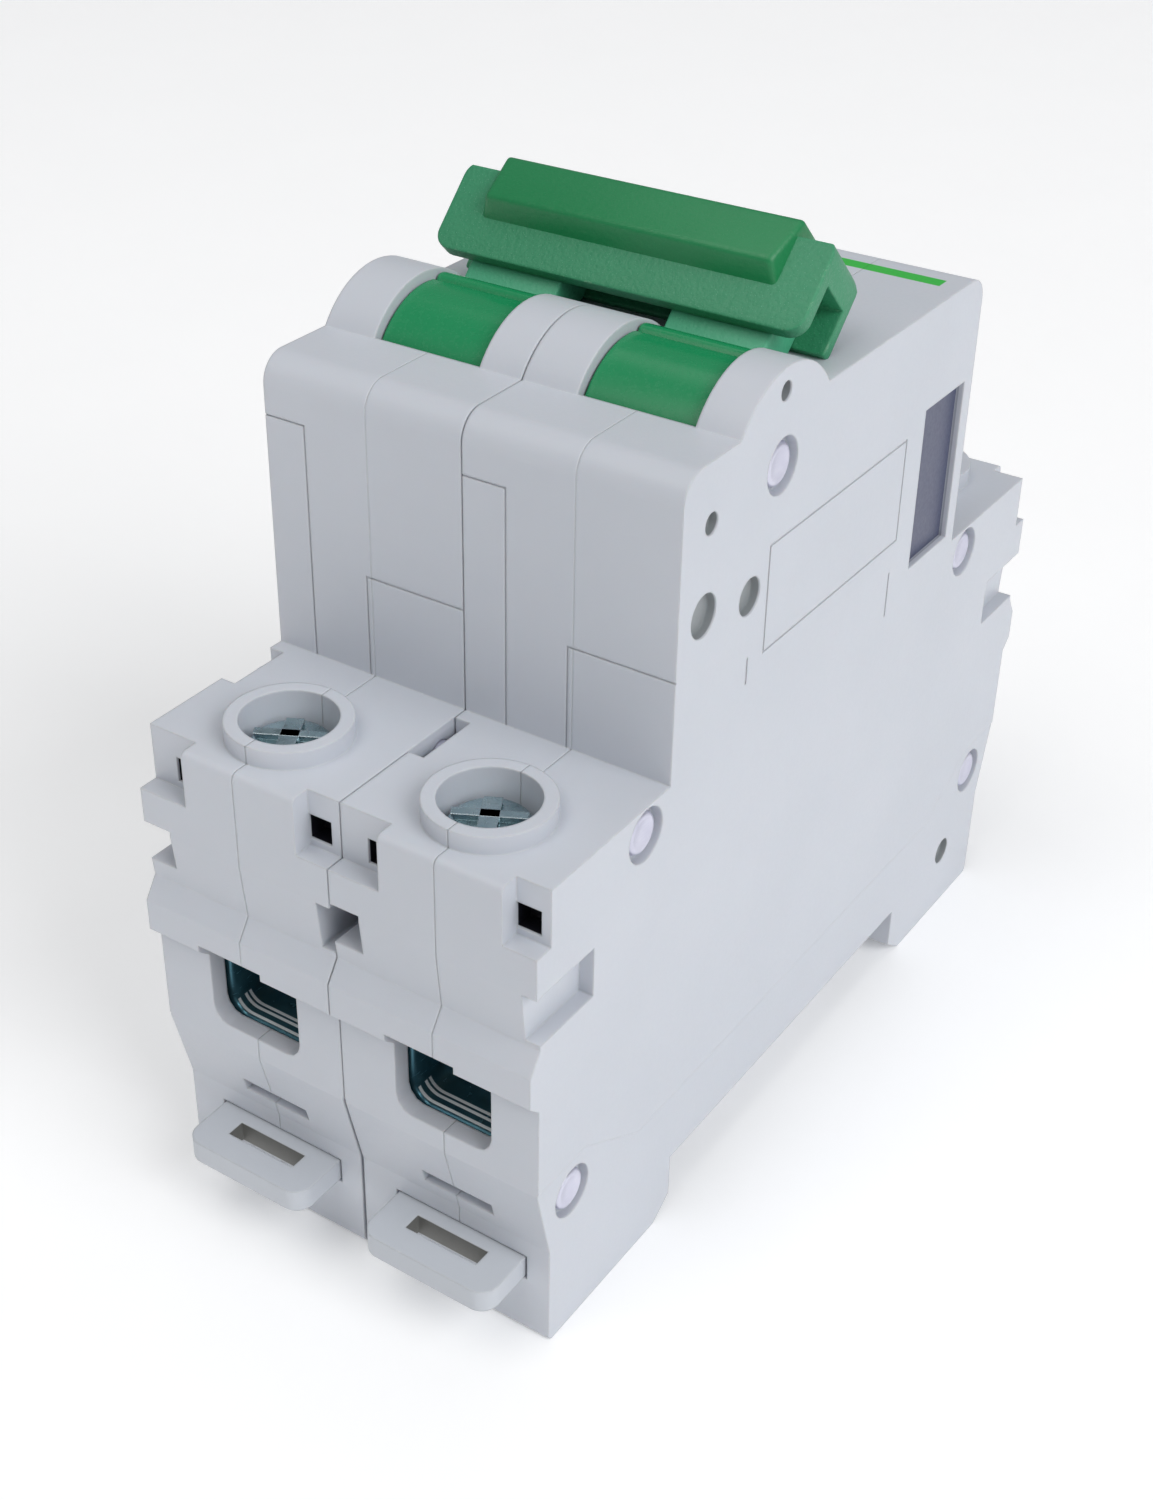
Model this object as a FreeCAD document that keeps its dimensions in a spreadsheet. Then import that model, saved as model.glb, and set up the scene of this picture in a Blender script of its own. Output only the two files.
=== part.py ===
"""A two-pole miniature circuit breaker for a 35 mm rail, built as an assembly.

The part lies on its back: the rail side faces down and the toggles face up.
Each pole is drawn in its own frame, with x from its left side, and its
placement carries it to its place. Sizes are in millimetres.
"""
import FreeCAD, Part
import os
import re
import Sketcher

VECTOR = FreeCAD.Vector
POLES = {"left": "-pole_pitch", "right": "0"}
PLANE_SIGN = {"YZ_Plane": 1, "XZ_Plane": -1, "XY_Plane": 1}

# Driving sizes. Every value becomes a named cell of the spreadsheet.
DIMENSIONS = {
    "pole_pitch": 18.0, "parting": 9.5, "side_wall": 1.5,
    "end_face": 39.6, "band_face": 40.3, "foot_face": 37.5, "foot_low": 5.6,
    "taper_low": 4.0, "taper_high": 11.0, "shoulder": 38.0, "front_face": 61.8,
    "front_half": 23.0, "front_round": 2.2, "recess_half": 20.0, "seat_half": 15.9,
    "cavity_floor": 3.6, "cavity_end": 37.6, "cavity_shoulder": 36.2,
    "cavity_front": 60.0, "cavity_front_half": 21.3,
    "pivot_back": 9.5, "pivot_high": 57.6, "ridge_radius": 7.5, "slot_radius": 7.3,
    "slot_left": 4.7, "slot_right": 14.3, "drum_radius": 6.75,
    "rivet_radius": 1.2, "rivet_hole": 1.25, "rivet_head": 1.7, "counterbore": 2.2,
    "counterbore_deep": 1.0, "shoulder_rivet": 26.1, "shoulder_rivet_high": 35.6,
    "foot_rivet": 34.6, "foot_rivet_high": 8.1, "boss_radius": 2.4,
    "terminal_end": 33.1, "collar_radius": 4.85, "collar_bore": 3.75,
    "collar_high": 1.5, "head_seat": 35.3, "screw_block_low": 32.6,
    "shank_hole": 2.7, "screw_head": 3.2, "screw_head_high": 2.3,
    "screw_radius": 2.45, "cage_hole": 2.5, "screw_low": 23.4,
    "notch_left": 4.6, "notch_right": 15.1, "notch_floor": 33.2, "notch_back": 37.9,
    "window_left": 5.1, "window_right": 13.8, "window_low": 13.0, "window_high": 21.0,
    "channel_left": 3.4, "channel_right": 15.8, "channel_high": 2.4,
    "leg_pocket": 23.8, "leg_pocket_low": 3.9,
    "clip_half": 6.0, "clip_middle": 9.6, "clip_low": 0.2, "clip_thick": 2.0,
    "clip_tip": 42.5, "clip_leg_out": 19.5, "clip_leg_in": 18.0,
    "clip_lip": 16.2, "clip_lip_high": 1.3, "clip_leg_low": 3.6,
    "cage_half": 5.6, "cage_wall": 1.1, "cage_deep": 3.8, "cage_low": 10.8,
    "cage_floor": 1.5, "cage_top": 25.8, "cage_cap": 1.5,
    "plate_low": 21.5, "plate_thick": 1.5, "plate_half": 3.5, "plate_end": 36.8,
    "arm_pivot_high": 27.0, "arm_tilt": 10.07, "pin_radius": 1.2, "pin_hole": 1.26,
    "link_pin_radius": 0.8, "link_hole": 0.86, "link_reach": 4.5, "link_long": 9.5,
    "coil_high": 30.0, "coil_near": 5.4, "coil_far": 21.4, "bobbin_bore": 3.2,
    "bobbin_tube": 4.0, "bobbin_flange": 6.2, "wire_radius": 0.8, "coil_radius": 4.9,
    "lever_pivot_back": 4.0, "lever_pivot_high": 38.0,
    "chute_near": 3.0, "chute_far": 21.0, "chute_low": 4.2, "chute_pitch": 1.75,
    "arc_plate_thick": 0.8, "seam_gap": 0.06, "parting_gap": 0.04,
    "mark_deep": 0.1,
}

os.makedirs("parts", exist_ok=True)
document = FreeCAD.newDocument("CircuitBreaker")
sheet = document.addObject("Spreadsheet::Sheet", "Dims")
for row, (alias, value) in enumerate(DIMENSIONS.items(), start=1):
    sheet.set(f"A{row}", alias)
    sheet.set(f"B{row}", str(value))
    sheet.setAlias(f"B{row}", alias)
document.recompute()
NODES = []


def size(text):
    """Works out a sum of named sizes, such as 'end_face-side_wall'."""
    total = 0.0
    for term in re.findall(r"[+-]?[^+-]+", str(text).replace(" ", "")):
        name = term.lstrip("+-")
        value = DIMENSIONS[name] if name in DIMENSIONS else float(name)
        total += -value if term.startswith("-") else value
    return total


def formula(text):
    """Writes the same sum as an expression over the spreadsheet's cells."""
    parts = re.split(r"([+-])", str(text).replace(" ", ""))
    return "".join(f"Dims.{part}" if part in DIMENSIONS else part for part in parts)


def bind(item, field, text):
    """Sets one length of an object and ties it to the spreadsheet."""
    item.setExpression(field, formula(text))


def place(item, where, turn=None):
    """Puts a sub-part at its place, with each coordinate tied to the sheet."""
    rotation = turn if turn else FreeCAD.Rotation()
    base = VECTOR(*[size(value) for value in where])
    item.Placement = FreeCAD.Placement(base, rotation)
    for letter, value in zip("xyz", where):
        bind(item, f"Placement.Base.{letter}", value)


def register(item, label, where=("0", "0", "0"), turn=None):
    """Names a finished sub-part, places it and keeps it for writing."""
    item.Label = label
    place(item, where, turn)
    NODES.append(item)
    return item


def new_body(label):
    """Makes an empty body for one moulded or stamped piece."""
    return document.addObject("PartDesign::Body", label)


def outline(body, role, points, start):
    """Draws a closed straight-sided outline on a plane at a stated distance."""
    plane = [item for item in body.Origin.OriginFeatures if item.Role == role][0]
    sketch = body.newObject("Sketcher::SketchObject", "Outline")
    sketch.AttachmentSupport = [(plane, "")]
    sketch.MapMode = "FlatFace"
    count = len(points)
    spots = [VECTOR(size(first), size(second), 0) for first, second in points]
    for index in range(count):
        line = Part.LineSegment(spots[index], spots[(index + 1) % count])
        sketch.addGeometry(line, False)
    for index in range(count):
        link = Sketcher.Constraint("Coincident", index, 2, (index + 1) % count, 1)
        sketch.addConstraint(link)
    for index, (first, second) in enumerate(points):
        for kind, value in (("DistanceX", first), ("DistanceY", second)):
            rule = Sketcher.Constraint(kind, index, 1, size(value))
            number = sketch.addConstraint(rule)
            if re.search("[a-z]", str(value)):
                bind(sketch, f"Constraints[{number}]", value)
    offset = PLANE_SIGN[role] * size(start)
    sketch.AttachmentOffset = FreeCAD.Placement(VECTOR(0, 0, offset), FreeCAD.Rotation())
    lead = "" if PLANE_SIGN[role] == 1 else "-1*"
    sketch.setExpression("AttachmentOffset.Base.z", f"{lead}({formula(start)})")
    return sketch


def pad(body, role, points, start, length):
    """Adds material over an outline, from start along the plane's own axis."""
    sketch = outline(body, role, points, start)
    feature = body.newObject("PartDesign::Pad", "Pad")
    feature.Profile = sketch
    bind(feature, "Length", length)
    feature.Reversed = PLANE_SIGN[role] == -1
    return feature


def pocket(body, role, points, start, length):
    """Removes material over an outline, from start along the plane's axis."""
    sketch = outline(body, role, points, start)
    feature = body.newObject("PartDesign::Pocket", "Pocket")
    feature.Profile = sketch
    bind(feature, "Length", length)
    feature.Reversed = PLANE_SIGN[role] == 1
    return feature


def block(body, low, high, cutting=False):
    """Adds or cuts a box between two corners."""
    kind = "PartDesign::SubtractiveBox" if cutting else "PartDesign::AdditiveBox"
    feature = body.newObject(kind, "Block")
    for field, start, end in zip(("Length", "Width", "Height"), low, high):
        text = f"({formula(end)})-({formula(start)})"
        feature.setExpression(field, text)
    place(feature, low)
    return feature


TURNS = {
    "x": FreeCAD.Rotation(VECTOR(0, 1, 0), 90),
    "y": FreeCAD.Rotation(VECTOR(1, 0, 0), -90),
    "z": FreeCAD.Rotation(),
}


def disc(body, axis, start, length, radius, cutting=False):
    """Adds or cuts a cylinder that runs along one axis from its start point."""
    kind = "PartDesign::SubtractiveCylinder" if cutting else "PartDesign::AdditiveCylinder"
    feature = body.newObject(kind, "Disc")
    bind(feature, "Radius", radius)
    bind(feature, "Height", length)
    place(feature, start, TURNS[axis])
    return feature


def round_edges(body, spots, radius):
    """Rounds the edges whose middles lie at the given spots."""
    document.recompute()
    base = body.Tip
    names = []
    for number, edge in enumerate(base.Shape.Edges, start=1):
        middle = edge.valueAt((edge.FirstParameter + edge.LastParameter) / 2)
        for spot in spots:
            pairs = [(size(want), have) for want, have in zip(spot, middle) if want != "any"]
            if all(abs(want - have) < 0.05 for want, have in pairs):
                names.append(f"Edge{number}")
    feature = body.newObject("PartDesign::Fillet", "Round")
    feature.Base = (base, names)
    bind(feature, "Radius", radius)
    return feature


def mirrored(points):
    """Follows an outline's near half with its mirror image at the far end."""
    flipped = []
    for first, second in reversed(points):
        flipped.append((first[1:] if first.startswith("-") else f"-{first}", second))
    return points + flipped


def case_outline():
    """The side view of a pole, from the recess's near corner round to the far one."""
    near = [
        ("-seat_half", "0"), ("-recess_half", "0"), ("-recess_half", "-4.0"),
        ("-22.3", "-foot_low"), ("-foot_face", "-foot_low"), ("-foot_face", "taper_low"),
        ("-39.2", "taper_high"), ("-39.2", "19.4"), ("-band_face", "20.4"),
        ("-band_face", "23.2"), ("-39.1", "25.0"), ("-end_face", "29.7"),
        ("-end_face", "shoulder"), ("-front_half", "shoulder"), ("-front_half", "front_face"),
    ]
    return mirrored(near)


def cavity_outline():
    """The hollow of a shell, with room left for the screw blocks."""
    near = [
        ("-35.9", "cavity_floor"), ("-35.9", "5.0"), ("-cavity_end", "taper_high"),
        ("-cavity_end", "screw_block_low"), ("-28.6", "screw_block_low"),
        ("-28.6", "cavity_shoulder"), ("-cavity_front_half", "cavity_shoulder"),
        ("-cavity_front_half", "cavity_front"),
    ]
    return mirrored(near)


def near_and_far(low, high):
    """Gives a box at the near end and its mirror image at the far end."""
    turned_low = (low[0], negate(high[1]), low[2])
    turned_high = (high[0], negate(low[1]), high[2])
    return [(low, high), (turned_low, turned_high)]


def negate(text):
    """Changes the sign of a single size."""
    return text[1:] if text.startswith("-") else f"-{text}"


def shell_supports(body, side):
    """Adds the inner bosses, ribs and posts that hold the working pieces."""
    start, long = ("side_wall", "parting-side_wall") if side == "left" else (
        "parting", "pole_pitch-side_wall-parting")
    for back, high in RIVET_SPOTS[1:]:
        disc(body, "x", (start, back, high), long, "boss_radius")
    for low, high in near_and_far((start, "-27.6", "3.4"), ("0", "-26.4", "20.6")):
        block(body, low, (f"{start}+{long}", high[1], high[2]))
    if side == "left":
        disc(body, "x", ("side_wall", "-pivot_back", "arm_pivot_high"), "4.9", "boss_radius")
    else:
        disc(body, "x", ("11.9", "-pivot_back", "arm_pivot_high"), "4.8", "boss_radius")
        disc(body, "x", ("11.4", "-lever_pivot_back", "lever_pivot_high"), "5.2", "pin_radius")
        for low, high in near_and_far(("15.5", "-cavity_end", "24.0"), ("16.7", "-31.0", "31.0")):
            block(body, low, high)
    disc(body, "x", ("2.4", "-pivot_back", "arm_pivot_high"), "13.4", "pin_hole", True)
    ridge = ("0", "slot_left") if side == "left" else ("slot_right", "pole_pitch-slot_right")
    disc(body, "x", (ridge[0], "-pivot_back", "pivot_high"), ridge[1], "ridge_radius")


RIVET_SPOTS = [
    ("-pivot_back", "pivot_high"),
    ("-shoulder_rivet", "shoulder_rivet_high"),
    ("shoulder_rivet", "shoulder_rivet_high"),
    ("-foot_rivet", "foot_rivet_high"),
    ("foot_rivet", "foot_rivet_high"),
]


# The cable window seen from its end, with a stepped top and round lower corners.
WINDOW_OUTLINE = [
    ("window_left", "window_high"), ("11.3", "window_high"), ("11.3", "20.3"),
    ("window_right", "20.3"), ("window_right", "14.5"), ("13.6", "13.8"), ("13.1", "13.2"),
    ("12.4", "window_low"), ("6.5", "window_low"), ("5.8", "13.2"), ("5.3", "13.8"),
    ("window_left", "14.5"),
]


def shell_openings(body, pole, side):
    """Cuts the windows, channels, notches and bores of one shell."""
    disc(body, "x", ("slot_left", "-pivot_back", "pivot_high"),
         "slot_right-slot_left", "slot_radius", True)
    for end in ("-terminal_end", "terminal_end"):
        disc(body, "z", ("parting", end, "cavity_shoulder"), "3.3", "collar_radius")
        disc(body, "z", ("parting", end, "head_seat"), "8", "collar_bore", True)
        disc(body, "z", ("parting", end, "31.0"), "5", "shank_hole", True)
    slit = ("6.5", "-44", "5.4"), ("13.0", "-36.4", "6.7")
    channel = ("channel_left", "-44", "0"), ("channel_right", "-seat_half", "channel_high")
    leg = ("channel_left", "-leg_pocket", "-leg_pocket_low"), ("channel_right", "-seat_half", "0.1")
    cuts = [slit, channel, leg]
    if side == "left":
        cuts.append((("-1", "-44", "notch_floor"), ("notch_left", "-notch_back", "44")))
        cuts.append((("2.45", "-39", "33.8"), ("notch_left", "-36.2", "35.9")))
        cuts.append((("-1", "-44", "26.6"), ("2.65", "-36.4", "30.2")))
        cuts.append((("-1", "-30", "36.6"), ("1.4", "-24.3", "44")))
    else:
        cuts.append((("notch_right", "-44", "notch_floor"), ("19", "-notch_back", "44")))
        cuts.append((("notch_right", "-39", "33.8"), ("17.15", "-36.2", "35.9")))
        cuts.append((("16.7", "-44", "25.4"), ("19", "-32.5", "29.7")))
    for low, high in cuts:
        for first, second in near_and_far(low, high):
            block(body, first, second, True)
    for start in ("-44", "37"):
        pocket(body, "XZ_Plane", WINDOW_OUTLINE, start, "7")
    blade_way = ("slot_left", "-pivot_back", "59.9"), ("slot_right", "-0.7", "66")
    block(body, *blade_way, True)
    for back, high in RIVET_SPOTS:
        disc(body, "x", ("-1", back, high), "20", "rivet_hole", True)
        if side == pole:
            mouth = "-1" if side == "left" else "pole_pitch-counterbore_deep"
            disc(body, "x", (mouth, back, high), "counterbore_deep+1", "counterbore", True)


def shell_details(body, side):
    """Cuts the shallow marks of the outer side and of the near wall."""
    floor = "-1" if side == "left" else "pole_pitch-0.8"
    for back, high, radius in (("-9.75", "63.3", "0.75"), ("-19.2", "57.1", "0.85"),
                               ("-19.6", "50.2", "1.7"), ("-13.1", "48.8", "1.5"),
                               ("30.5", "0.9", "1.3")):
        disc(body, "x", (floor, back, high), "1.8", radius, True)
    line = ("-1", "0.16") if side == "left" else ("pole_pitch-0.16", "19")
    for low_y, high_y, low_z, high_z in (("-10.5", "11.4", "42.9", "43.08"),
                                         ("-10.5", "11.4", "51.62", "51.8"),
                                         ("-10.5", "-10.32", "42.9", "51.8"),
                                         ("11.22", "11.4", "42.9", "51.8"),
                                         ("-12.9", "-12.7", "41.4", "43.6"),
                                         ("10.5", "10.7", "36.3", "40.3")):
        block(body, (line[0], low_y, low_z), (line[1], high_y, high_z), True)
    depth = ("-1", "0.7") if side == "left" else ("pole_pitch-0.7", "19")
    block(body, (depth[0], "14.4", "39"), (depth[1], "21.5", "53.1"), True)
    apron = [("-44", "11.3"), ("-33", "11.3"), ("-25.5", "7"), ("25.5", "7"),
             ("33", "11.3"), ("44", "11.3"), ("44", "-9"), ("-44", "-9")]
    pocket(body, "YZ_Plane", apron, "-1" if side == "left" else "pole_pitch-0.15", "1.15")
    if side == "left":
        marks = ((("3.66", "38"), ("3.8", "57.3")), (("-1", "57.2"), ("3.8", "57.34")),
                 (("9.0", "38"), ("9.14", "46.5")), (("9.0", "46.38"), ("9.6", "46.52")))
    else:
        marks = ((("9.4", "46.38"), ("19", "46.52")),)
    for (low_x, low_z), (high_x, high_z) in marks:
        block(body, (low_x, "-24", low_z), (high_x, "-front_half+mark_deep", high_z), True)


def shell(pole, side):
    """Builds one half shell of a pole, which meets its partner on the parting plane."""
    body = new_body(f"{pole}_pole_{side}_shell")
    start, end = ("0", "parting") if side == "left" else ("parting", "pole_pitch")
    pad(body, "YZ_Plane", case_outline(), start, f"{end}-{start}")
    round_edges(body, [("any", "-front_half", "front_face"), ("any", "front_half", "front_face")],
                "front_round")
    round_edges(body, [("any", "-foot_face", "-foot_low"), ("any", "foot_face", "-foot_low"),
                       ("any", "-end_face", "shoulder"), ("any", "end_face", "shoulder")], "0.6")
    if side == "left":
        pocket(body, "YZ_Plane", cavity_outline(), "side_wall", "parting-side_wall+1")
    else:
        pocket(body, "YZ_Plane", cavity_outline(), "parting-1", "pole_pitch-side_wall-parting+1")
    shell_supports(body, side)
    shell_openings(body, pole, side)
    shell_details(body, side)
    if side == "left":
        block(body, ("parting", "-50", "-10"), ("20", "50", "70"), True)
        block(body, ("parting-parting_gap", "-50", "-10"), ("20", "-front_half", "70"), True)
        block(body, ("parting-parting_gap", "front_half", "-10"), ("20", "50", "70"), True)
        block(body, ("-5", "-50", "-10"), ("seam_gap", "50", "70"), True)
    else:
        block(body, ("-5", "-50", "-10"), ("parting", "50", "70"), True)
        block(body, ("pole_pitch-seam_gap", "-50", "-10"), ("25", "50", "70"), True)
    register(body, f"{pole}_pole_{side}_shell", (POLES[pole], "0", "0"))


def toggle(pole):
    """Builds a toggle upright about its pivot, then leans it to its on position."""
    body = new_body(f"{pole}_toggle")
    disc(body, "x", ("4.9", "0", "0"), "9.2", "drum_radius")
    block(body, ("4", "-8", "-8"), ("15", "8", "-1.2"), True)
    disc(body, "x", ("4.9", "0", "0"), "9.2", "2.9")
    disc(body, "x", ("4.9", "-2.6", "5.6"), "9.2", "0.8")
    web = [("-1.8", "0.5"), ("-1.8", "-5.2"), ("-1.0", "-6.3"), ("1.0", "-6.3"),
           ("1.8", "-5.2"), ("1.8", "0.5")]
    pad(body, "YZ_Plane", web, "8.5", "2.0")
    blade = [("-0.85", "4.5"), ("-0.85", "13.1"), ("2.95", "13.1"), ("2.95", "4.5")]
    pad(body, "YZ_Plane", blade, "5.0", "8.4")
    disc(body, "x", ("4", "0", "0"), "12", "rivet_hole", True)
    disc(body, "x", ("8", "0", "-link_reach"), "3", "link_hole", True)
    turn = FreeCAD.Rotation(VECTOR(1, 0, 0), -45)
    register(body, f"{pole}_toggle", (POLES[pole], "-pivot_back", "pivot_high"), turn)


def tie_bar():
    """Builds the bar that caps both toggles, with its ribbed grip."""
    body = new_body("handle_tie_bar")
    section = [("-2.2", "8.75"), ("-2.2", "15.8"), ("-1.2", "16.2"), ("1.3", "16.5"),
               ("3.0", "16.6"), ("3.8", "15.9"), ("3.95", "13.9"), ("3.95", "10.4"),
               ("3.5", "9.6"), ("3.05", "9.6"), ("3.05", "13.2"), ("-0.95", "13.2"),
               ("-0.95", "9.4"), ("-1.3", "8.75")]
    pad(body, "YZ_Plane", section, "-16", "32")
    grip = [("-2.0", "10.9"), ("-2.9", "11.2"), ("-3.7", "13.0"), ("-2.6", "17.2"),
            ("2.4", "17.2"), ("3.0", "16.0"), ("-1.0", "15.0")]
    pad(body, "YZ_Plane", grip, "-12.7", "25.4")
    turn = FreeCAD.Rotation(VECTOR(1, 0, 0), -45)
    register(body, "handle_tie_bar", ("0", "-pivot_back", "pivot_high"), turn)


def drive_link(pole):
    """Builds the flat link with its two side pins, hanging from the toggle's web."""
    body = new_body(f"{pole}_drive_link")
    bar = [("-1.4", "-9.5"), ("-0.8", "-10.7"), ("0.8", "-10.7"), ("1.4", "-9.5"),
           ("1.4", "0"), ("0.8", "1.2"), ("-0.8", "1.2"), ("-1.4", "0")]
    pad(body, "YZ_Plane", bar, "6.9", "1.2")
    disc(body, "x", ("7.5", "0", "0"), "3.6", "link_pin_radius")
    disc(body, "x", ("7.5", "0", "-link_long"), "3.7", "0.7")
    register(body, f"{pole}_drive_link", (POLES[pole], "-12.682", "54.418"))


def contact_arm(pole):
    """Builds the moving arm about its pivot, with the slot for the link's pin."""
    tilt = FreeCAD.Rotation(VECTOR(1, 0, 0), DIMENSIONS["arm_tilt"])
    where = (POLES[pole], "-pivot_back", "arm_pivot_high")
    body = new_body(f"{pole}_contact_arm")
    arm = [("-1.6", "-15.5"), ("1.4", "-15.5"), ("1.8", "-4"), ("2.6", "4"),
           ("2.6", "19.4"), ("1.6", "20.4"), ("-1.6", "20.4"), ("-2.6", "19.4"), ("-2.6", "0")]
    pad(body, "YZ_Plane", arm, "8.5", "2.0")
    disc(body, "x", ("7.4", "0", "0"), "4.1", "2.9")
    block(body, ("8", "-1.2", "15.6"), ("11", "1.2", "19.4"), True)
    disc(body, "x", ("7", "0", "0"), "5", "pin_hole", True)
    register(body, f"{pole}_contact_arm", where, tilt)
    tip = document.addObject("Part::Box", f"{pole}_moving_contact")
    for field, value in (("Length", "2.0"), ("Width", "1.0"), ("Height", "3.0")):
        bind(tip, field, value)
    frame = FreeCAD.Placement(VECTOR(*[size(value) for value in where]), tilt)
    spot = frame.multVec(VECTOR(8.5, 1.53, -15.4))
    register(tip, f"{pole}_moving_contact", (f"{POLES[pole]}+8.5", f"{spot.y:.4f}",
                                             f"{spot.z:.4f}"), tilt)
    fixed = new_body(f"{pole}_fixed_contact")
    strip = [("3.6", "-17.2"), ("3.6", "-9.0"), ("12.5", "-6.6"), ("12.5", "-7.8"),
             ("4.8", "-9.9"), ("4.8", "-17.2")]
    pad(fixed, "YZ_Plane", strip, "7.0", "5.0")
    register(fixed, f"{pole}_fixed_contact", where, tilt)
    pad_tip = document.addObject("Part::Box", f"{pole}_fixed_contact_tip")
    for field, value in (("Length", "3.0"), ("Width", "1.02"), ("Height", "4.0")):
        bind(pad_tip, field, value)
    spot = frame.multVec(VECTOR(8.0, 2.58, -16.0))
    register(pad_tip, f"{pole}_fixed_contact_tip", (f"{POLES[pole]}+8.0", f"{spot.y:.4f}",
                                                    f"{spot.z:.4f}"), tilt)
    pin = document.addObject("Part::Cylinder", f"{pole}_arm_pin")
    bind(pin, "Radius", "pin_radius")
    bind(pin, "Height", "13.0")
    register(pin, f"{pole}_arm_pin", (f"{POLES[pole]}+2.6", "-pivot_back", "arm_pivot_high"),
             TURNS["x"])


def arc_chute(pole):
    """Builds the stack of notched steel plates, their frame and the arc runner."""
    frame = new_body(f"{pole}_arc_chute_frame")
    block(frame, ("2.6", "chute_near", "3.7"), ("3.6", "chute_far", "19.0"))
    block(frame, ("15.4", "chute_near", "3.7"), ("16.4", "chute_far", "19.0"))
    block(frame, ("3.0", "chute_far-0.8", "3.7"), ("16.0", "chute_far", "19.0"))
    register(frame, f"{pole}_arc_chute_frame", (POLES[pole], "0", "0"))
    plates = []
    for index in range(8):
        body = new_body(f"{pole}_arc_plate")
        notch = [("3.7", "chute_near+0.3"), ("7.0", "chute_near+0.3"), ("9.5", "9.0"),
                 ("12.0", "chute_near+0.3"), ("15.3", "chute_near+0.3"),
                 ("15.3", "chute_far-0.9"), ("3.7", "chute_far-0.9")]
        height = f"{4.9 + 1.75 * index:.2f}"
        pad(body, "XY_Plane", notch, height, "arc_plate_thick")
        plates.append(body)
    stack = document.addObject("Part::Compound", f"{pole}_arc_plates")
    stack.Links = plates
    register(stack, f"{pole}_arc_plates", (POLES[pole], "0", "0"))
    runner = new_body(f"{pole}_arc_runner")
    path = [("-16.0", "3.65"), ("20.0", "3.65"), ("20.0", "4.45"), ("-15.2", "4.45"),
            ("-15.2", "8.0"), ("-16.0", "8.0")]
    pad(runner, "YZ_Plane", path, "7.5", "4.0")
    register(runner, f"{pole}_arc_runner", (POLES[pole], "0", "0"))


def helix_wire(label, radius, pitch, turns, wire, start):
    """Winds a round wire into a coil along the pole's depth."""
    helix = Part.makeHelix(pitch, pitch * turns, radius)
    circle = Part.makeCircle(wire, VECTOR(radius, 0, 0), VECTOR(0, 1, 0))
    pipe = Part.Wire(helix.Edges).makePipeShell([Part.Wire([circle])], True, True)
    item = document.addObject("Part::Feature", label)
    item.Shape = pipe
    register(item, label, start, TURNS["y"])


def trip_coil(pole):
    """Builds the magnetic trip: bobbin, winding, core, plunger, spring and yoke."""
    axis = ("parting", "0", "coil_high")
    bobbin = new_body(f"{pole}_coil_bobbin")
    disc(bobbin, "y", (axis[0], "coil_near", axis[2]), "16.0", "bobbin_tube")
    disc(bobbin, "y", (axis[0], "coil_near", axis[2]), "1.0", "bobbin_flange")
    disc(bobbin, "y", (axis[0], "coil_far-1.0", axis[2]), "1.0", "bobbin_flange")
    disc(bobbin, "y", (axis[0], "coil_near-1", axis[2]), "18.0", "bobbin_bore", True)
    register(bobbin, f"{pole}_coil_bobbin", (POLES[pole], "0", "0"))
    helix_wire(f"{pole}_coil_winding", DIMENSIONS["coil_radius"], 1.9, 6.2,
               DIMENSIONS["wire_radius"] - 0.02, (f"{POLES[pole]}+parting", "7.5", "coil_high"))
    core = new_body(f"{pole}_coil_core")
    disc(core, "y", (axis[0], "4.2", axis[2]), "7.8", "3.15")
    disc(core, "y", (axis[0], "4", axis[2]), "9", "1.2", True)
    register(core, f"{pole}_coil_core", (POLES[pole], "0", "0"))
    plunger = new_body(f"{pole}_trip_plunger")
    disc(plunger, "y", (axis[0], "14.7", axis[2]), "6.2", "3.0")
    disc(plunger, "y", (axis[0], "-0.4", axis[2]), "16", "0.9")
    register(plunger, f"{pole}_trip_plunger", (POLES[pole], "0", "0"))
    helix_wire(f"{pole}_plunger_spring", 1.8, 0.62, 3.2, 0.2,
               (f"{POLES[pole]}+parting", "12.35", "coil_high"))
    yoke = new_body(f"{pole}_coil_yoke")
    bracket = [("4.2", "21.6"), ("22.6", "21.6"), ("22.6", "35.9"), ("21.45", "35.9"),
               ("21.45", "22.8"), ("5.35", "22.8"), ("5.35", "35.9"), ("4.2", "35.9")]
    pad(yoke, "YZ_Plane", bracket, "5.0", "9.0")
    disc(yoke, "y", (axis[0], "3", axis[2]), "4", "3.2", True)
    register(yoke, f"{pole}_coil_yoke", (POLES[pole], "0", "0"))


def thermal_trip(pole):
    """Builds the bimetal strip and the lever that it and the plunger move."""
    strip = document.addObject("Part::Box", f"{pole}_bimetal_strip")
    for field, value in (("Length", "7.0"), ("Width", "1.0"), ("Height", "37.0")):
        bind(strip, field, value)
    register(strip, f"{pole}_bimetal_strip", (f"{POLES[pole]}+6.5", "-19.5", "9.0"))
    lever = new_body(f"{pole}_trip_lever")
    shape = [("-6.0", "40.4"), ("-17.9", "46.4"), ("-17.9", "43.2"), ("-16.6", "42.6"),
             ("-6.0", "36.8"), ("-4.0", "35.0"), ("-2.1", "32.0"), ("-2.1", "28.3"),
             ("-0.9", "28.3"), ("-0.9", "33.0"), ("-1.4", "39.2"), ("-3.0", "40.6")]
    pad(lever, "YZ_Plane", shape, "11.8", "1.6")
    block(lever, ("8.2", "-2.1", "28.3"), ("12", "-0.9", "31.7"))
    disc(lever, "x", ("11", "-lever_pivot_back", "lever_pivot_high"), "3", "pin_hole", True)
    register(lever, f"{pole}_trip_lever", (POLES[pole], "0", "0"))


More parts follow.
